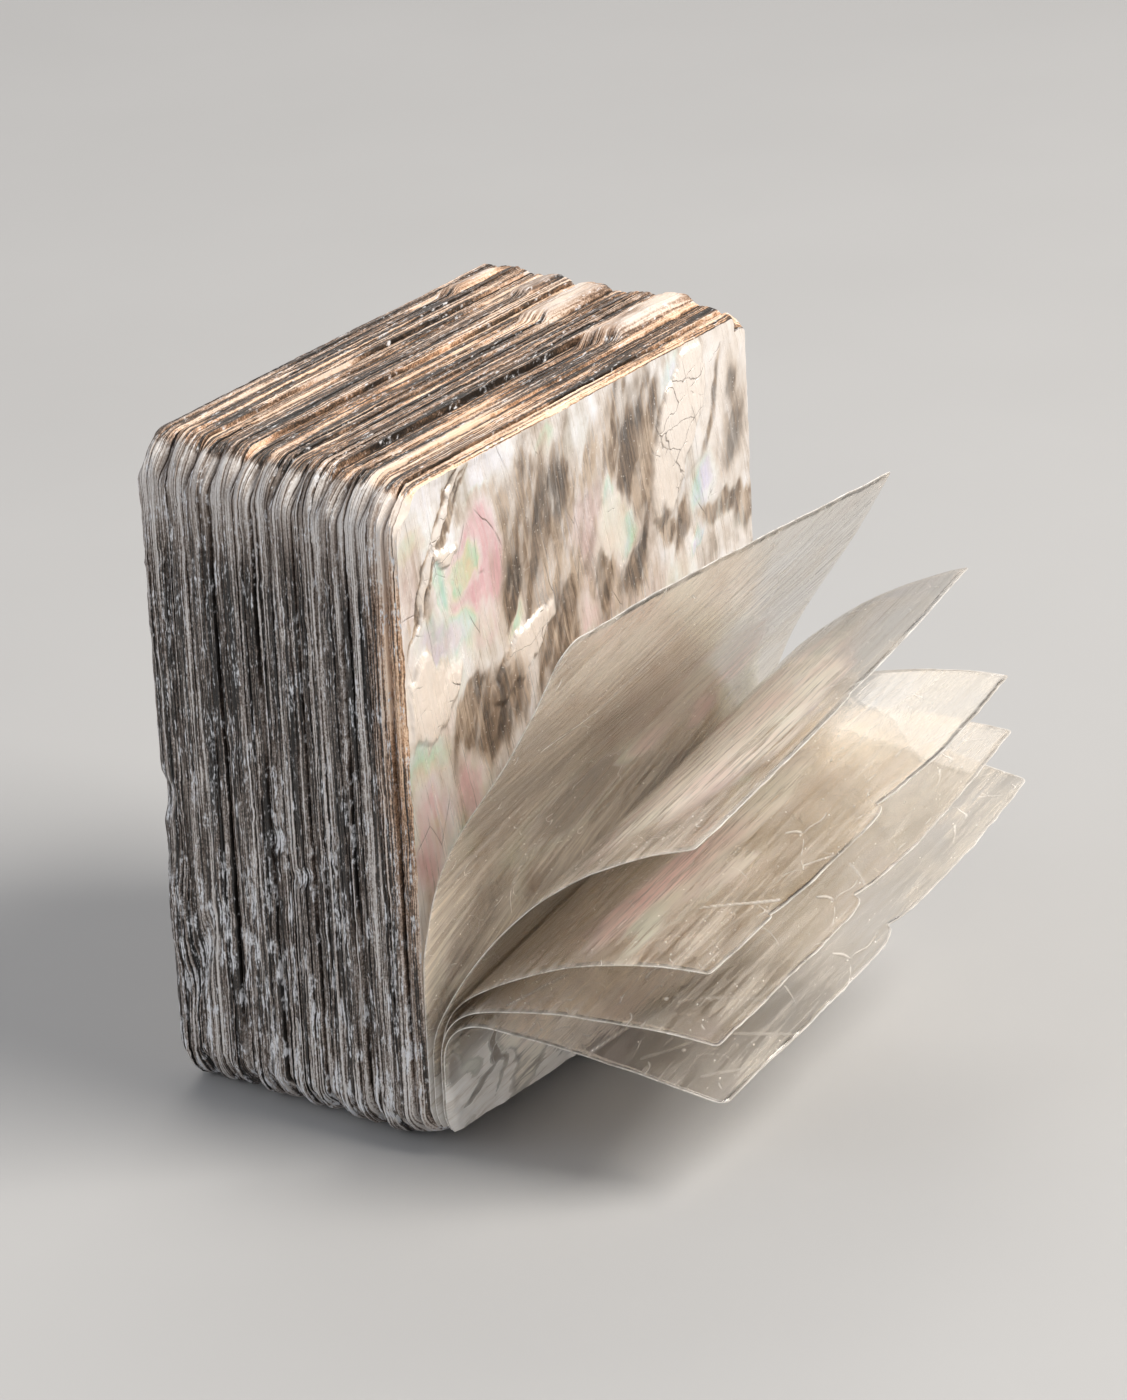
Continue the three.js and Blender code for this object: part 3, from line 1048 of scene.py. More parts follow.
FRONT_PATCHES = (
    # The silver band along the top, a painted highlight on the face's own pale pearl, with a green place
    # in it.
    Patch(12.5, 69.8, 10.0, 2.6, soft=0.5, film=0.15, hue=0.95),
    Patch(30.4, 67.0, 2.6, 5.4, 4.0, 0.4, film=0.15, hue=0.95, lift=0.08, line=0.25),
    Patch(24.7, 69.4, 1.7, 2.3, 20.0, film=1.0, hue=0.75),
    Patch(20.8, 69.8, 1.2, 2.2, 8.0, 0.9, smoke=0.7),
    # The upper left corner.
    Patch(1.8, 69.5, 1.3, 3.6, 25.0, 0.3, cream=0.9, lift=0.12),
    Patch(3.0, 65.2, 4.2, 1.6, film=0.5, hue=0.45, smoke=0.2),
    Patch(2.5, 60.5, 3.0, 3.4, film=0.35, hue=0.20, smoke=0.3),
    # The smoky middle.
    Patch(33.0, 58.0, 12.0, 8.5, 4.0, 0.9, smoke=0.54, film=0.2, hue=0.25),
    Patch(22.8, 60.0, 8.4, 8.8, 8.0, 0.6, smoke=0.66, hue=0.3, line=0.15),
    Patch(24.6, 60.4, 2.6, 4.4, 10.0, 0.9, smoke=0.92),
    Patch(19.4, 55.4, 2.0, 2.8, 6.0, 0.8, smoke=0.95),
    Patch(15.8, 66.0, 4.6, 1.8, 5.0, 0.6, smoke=0.62, hue=0.4),
    # The rosy place on the left, with green and lavender in it.
    Patch(13.6, 59.0, 4.0, 8.4, 12.0, 0.4, film=0.95, hue=0.12),
    Patch(11.9, 60.2, 1.5, 2.6, 30.0, 0.5, film=1.0, hue=0.64),
    Patch(8.2, 60.0, 1.3, 3.2, -14.0, 0.5, film=1.0, hue=0.66),
    Patch(10.6, 53.6, 1.8, 3.6, -24.0, 0.5, film=0.9, hue=0.64),
    Patch(6.5, 53.8, 3.4, 3.0, smoke=0.3, film=0.8, hue=0.94),
    Patch(14.6, 52.6, 2.4, 2.6, smoke=0.2, film=0.6, hue=0.25),
    Patch(20.0, 52.0, 1.0, 2.6, 30.0, film=0.9, hue=0.62),
    # Leaning grooves, and the flake that crosses them.
    Patch(6.4, 63.4, 0.35, 10.0, 30.0, 0.5, smoke=1.0, lift=-0.18),
    Patch(7.4, 63.8, 0.6, 9.0, 30.0, 0.4, cream=0.9, lift=0.15),
    Patch(8.4, 64.4, 0.35, 8.0, 30.0, 0.5, smoke=0.95, lift=-0.18),
    Patch(9.6, 65.4, 0.25, 7.0, 30.0, 0.5, smoke=0.9, lift=-0.12),
    Patch(9.2, 62.6, 1.7, 0.9, -20.0, 0.25, cream=1.0, lift=0.35, line=0.5),
    # Rosy, green and cream places right of the middle.
    Patch(31.6, 57.6, 3.2, 7.0, 10.0, 0.8, smoke=0.50, film=0.6, hue=0.22),
    Patch(35.9, 59.4, 1.4, 2.6, 20.0, 0.6, smoke=0.25, film=1.0, hue=0.58),
    Patch(36.8, 56.0, 3.6, 3.4, -25.0, 0.5, film=0.5, hue=0.5, cream=0.6, lift=0.12, line=0.2),
    Patch(38.9, 56.2, 1.0, 2.4, 25.0, film=0.9, hue=0.66),
    # The dark place at the top, between pearly ones.
    Patch(40.6, 66.8, 5.8, 5.2, -4.0, 0.6, smoke=0.50, lift=-0.08, line=0.2),
    Patch(41.2, 63.6, 3.0, 6.2, 3.0, 0.5, smoke=1.0, lift=-0.12),
    Patch(37.6, 66.5, 0.7, 4.6, 6.0, 0.8, smoke=0.95),
    Patch(44.4, 66.6, 0.9, 4.4, 10.0, 0.8, smoke=0.95),
    Patch(47.8, 70.0, 1.6, 2.4, film=0.5, hue=0.9),
    # The upper right corner, and the long cream flake beside it.
    Patch(57.4, 64.0, 4.8, 10.5, 10.0, 0.5, smoke=0.10, cream=0.60, lift=0.08),
    Patch(58.2, 61.8, 2.2, 5.6, 14.0, 0.7, smoke=0.62, cream=0.2),
    Patch(54.6, 63.5, 0.6, 6.0, 16.0, 0.8, smoke=0.6),
    Patch(48.6, 63.6, 3.2, 9.4, 24.0, 0.2, cream=0.95, lift=0.42, line=0.55),
    Patch(53.4, 57.4, 1.9, 3.2, 22.0, film=0.8, hue=0.94),
    # Dark and bluish places under the flake.
    Patch(46.6, 54.6, 1.3, 2.6, -20.0, 0.6, smoke=0.95, lift=-0.12),
    Patch(49.4, 53.4, 1.1, 3.4, 22.0, 0.7, smoke=0.9, lift=-0.12),
    Patch(52.2, 51.6, 1.0, 2.4, 30.0, 0.4, film=0.7, hue=0.86, lift=0.15),
    Patch(56.0, 52.8, 4.0, 1.8, 10.0, 0.7, smoke=0.75, film=0.3, hue=0.82, lift=-0.1),
    Patch(60.0, 51.0, 1.4, 3.0, 20.0, 0.6, smoke=0.8, film=0.2, hue=0.8),
    # The row above the first leaf.
    Patch(36.0, 50.6, 9.0, 3.4, 6.0, 0.6, smoke=0.55, film=0.4, hue=0.22),
    Patch(34.3, 52.2, 1.3, 2.2, -10.0, 0.6, smoke=0.95, lift=-0.1),
    Patch(40.0, 52.6, 2.0, 3.0, 24.0, 0.7, smoke=0.92, lift=-0.1),
    Patch(31.0, 49.0, 2.6, 2.0, smoke=0.15, film=0.6, hue=0.18, cream=0.3),
    Patch(26.8, 47.6, 3.6, 4.4, 30.0, 0.5, smoke=0.88, hue=0.3, lift=-0.2),
    # Raised flakes, with the dark hollow between them.
    Patch(21.2, 48.6, 2.0, 6.4, 50.0, 0.2, film=0.15, hue=0.2, cream=0.95, lift=0.40, line=0.5),
    Patch(14.4, 43.2, 7.2, 4.0, -30.0, 0.5, smoke=0.85, hue=0.4, lift=-0.30, line=0.2),
    Patch(4.4, 48.0, 5.6, 3.4, -15.0, 0.25, cream=0.9, lift=0.38, line=0.5),
    # The lower left side, beside the first leaf.
    Patch(3.6, 42.4, 4.2, 2.4, film=0.9, hue=0.58),
    Patch(10.0, 36.5, 3.8, 3.6, -20.0, film=0.9, hue=0.30),
    Patch(3.4, 34.5, 3.8, 6.5, smoke=0.15, film=0.8, hue=0.18),
    Patch(9.0, 31.0, 2.6, 3.2, smoke=0.2, film=0.7, hue=0.62),
    Patch(8.0, 21.0, 7.0, 7.0, smoke=0.40, film=0.2, hue=0.30),
    # The foot.
    Patch(9.0, 8.0, 9.0, 4.4, -12.0, 0.3, smoke=0.12, film=0.15, hue=0.9, cream=0.2, lift=0.2),
    Patch(10.4, 6.4, 2.4, 3.6, 18.0, 0.4, smoke=0.7, lift=-0.25),
    Patch(17.5, 6.5, 5.0, 2.8, 8.0, 0.3, smoke=0.1, film=0.1, hue=0.9, cream=0.3, lift=0.25),
)


@dataclass
class Book:
    """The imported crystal, in pieces that meet at deep grooves between packets."""

    finish: EdgeFinish
    pearl: PearlFinish
    outline: Outline = field(default_factory=Outline)
    front: Face = field(default_factory=lambda: Face(11, FRONT_PATCHES))
    back: Face = field(default_factory=lambda: Face(23, step=0.16, plain_smoke=0.25, rough=0.12))
    packets: tuple[Packet, ...] = (
        Packet(1.6, 0.5, 0.2, 0.6, 1.3),
        Packet(2.6, 0.1, 0.0, 0.3, 0.7),
        Packet(3.0, 0.4, 0.5, 0.1, 0.0),
        Packet(2.4, 0.0, 0.2, 0.6, 0.3),
        Packet(3.3, 0.5, 0.7, 0.0, 0.0),
        Packet(2.5, 0.1, 0.3, 0.5, 0.4),
        Packet(2.9, 0.6, 1.0, 0.2, 0.0),
        Packet(2.3, 0.2, 0.6, 0.6, 0.3),
        Packet(3.1, 0.6, 1.3, 0.1, 0.0),
        Packet(2.7, 0.3, 0.9, 0.4, 0.4),
        Packet(3.4, 0.7, 1.6, 0.0, 0.0),
        Packet(3.2, 0.6, 1.9, 0.3, 0.0),
    )
    scars: tuple[Scar, ...] = (
        Scar(17.4, 31.4, 0.9, 1.6, 0.5, 1.0),
        Scar(14.6, 28.0, 1.4, 1.1, 0.5, 0.8, -0.6),
        Scar(32.6, 33.0, 1.6, 2.2, 0.8, 0.3),
        Scar(29.0, 15.0, 1.2, 5.5, 0.7, 0.7, -0.35),
        Scar(21.5, 23.5, 0.5, 2.6, 0.3, 1.0),
        Scar(25.2, 21.5, 0.5, 1.8, 0.3, 0.9),
        Scar(9.0, 60.0, 0.5, 2.0, 0.4, 0.0),
        Scar(31.5, 20.0, 1.6, 6.0, 0.6, 0.2, 0.0, Push.BULGE),
    )
    slabs: tuple[Slab, ...] = (
        Slab(5.1, 8.7, 44.5, 60.5, 1.25),
        Slab(15.6, 18.3, 46.5, 60.0, 0.65),
        Slab(21.9, 23.6, 51.0, 60.0, 0.45),
        Slab(28.6, 30.6, 48.0, 59.0, 0.55),
    )
    layer_pitch: float = 0.42
    layer_shares: tuple[float, float] = (0.35, 1.65)
    layer_grooves: tuple[float, float] = (0.03, 0.16)
    packet_groove: float = 0.40
    layer_stagger: float = 0.16
    lip: float = 0.05
    gap: float = 0.03
    seed: int = 7

    def __post_init__(self) -> None:
        """Draws the layers."""
        self.grain = Grain(self.seed)
        self.draw = np.random.default_rng(self.seed)
        self.depth = sum(p.thick for p in self.packets)
        self.rows = self._rows()
        layers = int(self.rows.layer.max()) + 1
        self.layer_tone = self.draw.beta(1.3, 1.9, layers)
        self.layer_back = self.layer_stagger * self.draw.random(layers) ** 1.3
        self.layer_warm = self.draw.beta(1.2, 1.2, layers)

    def _rows(self) -> Rows:
        """Splits each packet into layers of uneven thickness, with a groove after each.

        Returns:
            The rows of points. The groove between two packets is the deepest.
        """
        y, packet, layer, groove = [0.0], [0], [0], [0.0]
        start, number = 0.0, 0
        for index, bundle in enumerate(self.packets):
            count = round(bundle.thick / self.layer_pitch)
            shares = self.draw.uniform(*self.layer_shares, count)
            ends = start + np.cumsum(shares / shares.sum()) * bundle.thick
            for end in ends:
                deep = self.packet_groove if end == ends[-1] else self.draw.uniform(*self.layer_grooves)
                y += [start + self.lip, end - self.lip, end]
                packet += [index] * 3
                layer += [number] * 3
                groove += [0.0, 0.0, deep]
                start, number = float(end), number + 1
        groove[-1] = 0.0
        return Rows(np.array(y), np.array(packet), np.array(layer), np.array(groove))

    def _spots(self, rows: Array, x: Array, z: Array, nx: Array, nz: Array) -> EdgeSpots:
        """Gathers what the sides' relief and their paint both need.

        Args:
            rows: Which rows of points.
            x: X of each point round the outline.
            z: Z of each point round the outline.
            nx: The outward normal's X.
            nz: The outward normal's Z.

        Returns:
            The places, one row for each row of points.
        """
        y = self.rows.y[rows][:, None]
        left, right = np.where(nx < 0, nx**2, 0.0), np.where(nx > 0, nx**2, 0.0)
        top, bottom = np.where(nz > 0, nz**2, 0.0), np.where(nz < 0, nz**2, 0.0)
        slab, rise, dent, white = np.zeros((4, len(rows), len(x)))
        for raised in self.slabs:
            weight = raised.weight(x, y) * top
            slab = np.maximum(slab, weight)
            rise = np.maximum(rise, raised.rise * weight)
        for scar in self.scars:
            weight = scar.weight(y, z) * left
            dent = dent + scar.way.value * scar.deep * weight
            white = np.maximum(white, scar.white * weight)
        return EdgeSpots(
            x=x,
            y=y,
            z=z,
            nx=nx,
            nz=nz,
            facing=np.stack([left, right, top, bottom]),
            corner=4.0 * (nx * nz) ** 2,
            layer=self.rows.layer[rows][:, None],
            groove=self.rows.groove[rows][:, None],
            packet=self.rows.packet[rows],
            ends=smooth(np.minimum(y, self.depth - y), 0.0, 1.2),
            chips=smooth(self.grain.layered(x / 2.6, y / 0.45, z / 2.6, 2), 0.62, 0.74),
            slab=slab,
            rise=rise,
            dent=dent,
            white=white,
        )

    def _setback(self, at: EdgeSpots) -> Array:
        """Works out how far the sides stand back from the outline.

        It is the packet's own amount, plus a rounding towards the packet's front and back that
        is stronger at the corners, plus a share for its layer, plus slow and fine noise, plus
        chips and flakes where coarse noise is high, plus its groove and bruises, less the slabs.

        Args:
            at: The places.

        Returns:
            Distances in millimetres.
        """
        grain, x, y, z, layer = self.grain, at.x, at.y, at.z, at.layer
        table = np.array([(p.left, p.right, p.top, p.bottom) for p in self.packets])[at.packet]
        back = table @ at.facing
        starts = np.cumsum([0.0] + [p.thick for p in self.packets])
        middle = (starts[at.packet] + starts[at.packet + 1])[:, None] / 2
        half = (starts[at.packet + 1] - starts[at.packet])[:, None] / 2
        round_off = np.abs((y - middle) / half) ** 2.6
        back = back + round_off * (0.18 + 1.15 * at.corner)
        _, _, top, bottom = at.facing
        loose = (1.0 - 0.55 * bottom) * (1.0 - at.slab)
        back = back + self.layer_back[layer] * loose * (1.0 + 1.2 * at.corner)
        back = back + 0.16 * loose * (grain.at(x / 28, layer * 5.3, z / 28) - 0.4)
        high_right = at.corner * (at.nx > 0) * (at.nz > 0)
        back = back + 1.5 * high_right * grain.at(at.packet[:, None] * 3.7 + 0.5, 9.5)
        loose = loose * (1.0 - 0.55 * top)
        flakes = smooth(grain.at(x / 7.5 + 40, y / 1.7, z / 9), 0.66, 0.74)
        back = back + loose * (0.14 * at.chips + 0.15 * flakes)
        cut = at.groove * (1.0 + 0.5 * at.corner) * (0.6 + 0.8 * grain.at(x / 5, layer * 2.9, z / 5))
        back = back + cut * (1.0 - at.slab) + 0.10 * (grain.at(x / 0.5, y / 0.2, z / 0.5) - 0.5)
        back = back - at.rise + 0.5 * at.slab * (grain.layered(x / 4.0, y / 2.5, 3.0) - 0.5)
        return back + at.dent + 0.35 * (1.0 - at.ends) ** 2

    def _paint(self, at: EdgeSpots) -> Array:
        """Works out the sides' paint.

        The tone is the layer's own, changed by slow noise, and shifted: brighter and golden on
        top, a painted highlight that is partly the layers' own warm colour, with two areas of
        painted shade there; a painted highlight round the upper left edges; painted shade in
        the grooves. Warmth grows on top, with the highlight, and at the front edge, and frost on
        chips low on the left.

        Args:
            at: The places.

        Returns:
            Tone, warmth, frost and calm for each place.
        """
        grain, x, y, z, layer = self.grain, at.x, at.y, at.z, at.layer
        groove, top = at.groove, at.facing[2]
        slow = grain.layered(x / 22, y / 6, z / 22, 2)
        tone = 0.26 + self.layer_tone[layer] * 0.40 + 0.30 * (grain.at(x / 12, layer * 3.1, z / 12) - 0.5)
        tone = tone * (0.65 + 0.6 * slow)
        # Painted golden highlights on top, partly the layers' own warm colour, and painted shade in two
        # areas there.
        bright = smooth(grain.at(x / 17 + 9, layer * 7.7, z / 17), 0.50, 0.72)
        golden_highlight = 0.85 * bright * self.layer_warm[layer] * (1.0 + 0.5 * smooth(34.0 - x, 0.0, 20.0))
        top_shade = 0.22 * np.exp(-(((x - 34.0) / 11.0) ** 2) - ((y - 5.5) / 3.0) ** 2)
        top_shade = top_shade + 0.20 * np.exp(-(((x - 31.0) / 12.0) ** 2) - ((y - 17.0) / 8.0) ** 2)
        tone = tone + top * (golden_highlight - top_shade - 0.17) + 0.25 * at.chips
        # A painted highlight round the upper left edges, where light catches the rounded corner: the tone
        # there turns pale and calm.
        reach = np.hypot(x, z - self.outline.height)
        corner_highlight = 0.9 * smooth(17.0 - reach, 0.0, 13.0) * (1.0 - smooth(at.nz, 0.80, 0.96))
        corner_highlight_tone = 0.92 + 0.7 * (grain.layered(x / 3, y / 0.8, z / 8, 2) - 0.5)
        tone = tone * (1.0 - corner_highlight) + corner_highlight_tone * corner_highlight
        tone = tone + 0.22 * smooth(16.0 - z, 0.0, 14.0)
        # Painted shade in the grooves between layers.
        tone = np.where(groove > 0, tone * 0.35, tone)
        tone = tone * (1.0 - at.slab) + at.slab * (0.40 + 0.9 * grain.layered(x / 5.0, y / 1.8, 8.0))
        tan = np.exp(-((y / 3.6) ** 2)) * (0.25 + 0.75 * smooth(z, 12.0, 45.0))
        tone = tone + 0.32 * tan
        # Warmth on top carries the painted golden highlight; at the front edge it is the tan tint.
        warm = smooth(at.nz, 0.82, 0.97) * (0.50 + 0.50 * self.layer_warm[layer]) * (0.6 + 0.8 * slow)
        warm = np.maximum(warm, tan) * (1.0 - 0.65 * corner_highlight) * (1.0 - 0.4 * at.slab)
        warm = np.maximum(warm, 0.16)
        frost = smooth(grain.layered(x / 1.5, y / 0.42, z / 2.4, 2), 0.48, 0.78)
        frost = frost * (1.0 - 0.95 * top) * (0.55 + 0.6 * smooth(36.0 - z, 0.0, 30.0))
        frost = np.maximum(frost, 1.1 * at.white)
        frost = np.where(groove > 0, frost * 0.2, frost)
        calm = np.maximum(0.8 * corner_highlight, 0.95 * at.slab)
        look = np.stack(np.broadcast_arrays(tone, warm, frost, calm), -1)
        return np.clip(look, 0.0, 1.6)

    def edge(self, rows: Array, x: Array, z: Array, nx: Array, nz: Array) -> tuple[Array, Array]:
        """Works out the sides' relief and paint.

        A point moves inwards along its normal by its setback, and along Y by a slow wave.

        Args:
            rows: Which rows of points.
            x: X of each point round the outline.
            z: Z of each point round the outline.
            nx: The outward normal's X.
            nz: The outward normal's Z.

        Returns:
            Places, and painted tone, warmth, frost and calm, one row for each row of points.
        """
        at = self._spots(rows, x, z, nx, nz)
        back = self._setback(at)
        wave = 0.12 * at.ends * (self.grain.at(x / 19, at.y / 4, z / 19) - 0.5)
        points = np.stack([x - nx * back, at.y + wave, np.maximum(z - nz * back, 0.0)], -1)
        points[..., 2] = self.outline.climb(points[..., 0], points[..., 2])
        return points, self._paint(at)

    def cap(self, maker: MeshMaker, cells: tuple[int, int], front: bool) -> None:
        """Closes one end of a shell with a face whose border lies on the shell's last ring.

        A grid point's place is the middle of the face, plus its share of the way to the rim,
        which is the larger of its distances across and up. Near the rim it follows the shell.

        Args:
            maker: Where the points go.
            cells: The grid's size across and up.
            front: True for the front face, false for the back.
        """
        face = self.front if front else self.back
        across, up = cells
        i, j = np.meshgrid(np.arange(across + 1), np.arange(up + 1), indexing="ij")
        u, v = 2.0 * i / across - 1.0, 2.0 * j / up - 1.0
        share = np.maximum(np.abs(u), np.abs(v))
        rim_x, rim_z, nx, nz = self.outline.rim(u, v)
        row = np.array([0 if front else len(self.rows.y) - 1])
        edge, _ = self.edge(row, rim_x.ravel(), rim_z.ravel(), nx.ravel(), nz.ravel())
        edge = edge[0].reshape(*share.shape, 3)
        climbed = self.outline.climb(rim_x, rim_z)
        pull = smooth(share, 0.86, 1.0)
        middle_x, middle_z = self.outline.width / 2, self.outline.height / 2
        x = middle_x + (rim_x + (edge[..., 0] - rim_x) * pull - middle_x) * share
        z = middle_z + (climbed + (edge[..., 2] - climbed) * pull - middle_z) * share
        lift, look = face.relief(x, z)
        sign = -1.0 if front else 1.0
        y = self.rows.y[row[0]] + sign * lift * smooth(1.0 - share, 0.0, 0.03)
        points = np.stack([x, y, z], -1)
        ids = np.empty(share.shape, int)
        ids[1:-1, 1:-1] = maker.add_points(points[1:-1, 1:-1], look[1:-1, 1:-1])
        loop = square_loop(across, up)
        ids[loop] = maker.add_points(points[loop], look[loop])
        quads = grid_quads(ids)
        maker.add_faces(quads if front else quads[:, ::-1], slot=1)

    def shell(
        self,
        name: str,
        packets: tuple[int, int],
        cells: tuple[int, int],
        materials: list[bpy.types.Material],
    ) -> bpy.types.Object:
        """Builds one piece of the book.

        Args:
            name: The piece's name.
            packets: Its first and last packet.
            cells: The grid across and up, whose border sets the points round each row.
            materials: The finishes of the edges and of the faces.

        Returns:
            The piece.
        """
        maker = MeshMaker(name)
        chosen = np.flatnonzero((self.rows.packet >= packets[0]) & (self.rows.packet <= packets[1]))
        first = max(chosen[0] - 1, 0)
        rows = np.arange(first, chosen[-1] + 1)
        i, j = square_loop(*cells)
        x, z, nx, nz = self.outline.rim(2.0 * i / cells[0] - 1.0, 2.0 * j / cells[1] - 1.0)
        points, look = self.edge(rows, x, z, nx, nz)
        points[0, :, 1] += self.gap if first else 0.0
        ids = maker.add_points(points, look)
        maker.add_faces(grid_quads(np.concatenate([ids, ids[:, :1]], 1)))
        for ring, place, front in ((ids[0], points[0], True), (ids[-1], points[-1], False)):
            if rows[0] == 0 and front or rows[-1] == len(self.rows.y) - 1 and not front:
                self.cap(maker, cells, front)
            else:
                hub = maker.add_points(place.mean(0)[None], look[0, 0])
                fan = np.stack([np.broadcast_to(hub, ring.shape), ring, np.roll(ring, -1)], -1)
                maker.add_faces(fan if front else fan[:, ::-1])
        return maker.build(materials, sharp=38.0)

    def build(self) -> list[bpy.types.Object]:
        """Makes the finishes and the pieces, from the front to the back.

        Returns:
            The pieces, riding on the body and standing for the CAD's book.
        """
        materials = [self.finish.build(), self.pearl.build()]
        pieces = [
            self.shell("book_front_packet", packets=(0, 0), cells=(260, 304), materials=materials),
            self.shell("book_front_packets", packets=(1, 4), cells=(190, 222), materials=materials),
            self.shell("book_middle_packets", packets=(5, 8), cells=(190, 222), materials=materials),
            self.shell("book_back_packets", packets=(9, 11), cells=(176, 206), materials=materials),
        ]
        for piece in pieces:
            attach(piece, "root")
            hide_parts("book")
        return pieces


# ---- The leaves -----------------------------------------------------------------------------


@dataclass(frozen=True)
class Nick:
    """A nick in a leaf's top edge: a rounded lobe on its left, a slow recovery on its right."""

    share: float
    deep: float
    reach: float

    def drop(self, share: Array) -> Array:
        """How far the edge drops: sharply on the left of the nick, slowly on its right.

        Both sides fade exponentially with the distance.

        Args:
            share: Places along the edge, from 0 to 1.

        Returns:
            Drops in millimetres.
        """
        left = 0.6 * self.deep * np.exp(-np.abs(share - self.share) / 0.018)
        right = self.deep * np.exp(-np.maximum(share - self.share, 0.0) / self.reach)
        return np.where(share < self.share, left, right)


@dataclass(frozen=True)
class Crease:
    """A fine white line across a leaf, from one flat place to another."""

    x: float
    distance: float
    end_x: float
    end_distance: float
    white: float = 0.6
    wide: float = 0.16

    def weight(self, x: Array, distance: Array) -> Array:
        """How white the line makes places, from their distance to its nearest point.

        Args:
            x: X of the places on the flat leaf.
            distance: Their distance from the hinge line through the corner.

        Returns:
            Weights, up to the line's whiteness.
        """
        run_x, run_d = self.end_x - self.x, self.end_distance - self.distance
        share = ((x - self.x) * run_x + (distance - self.distance) * run_d) / (run_x**2 + run_d**2)
        share = np.clip(share, 0.0, 1.0)
        off = np.hypot(x - self.x - share * run_x, distance - self.distance - share * run_d)
        return self.white * np.exp(-((off / self.wide) ** 2))


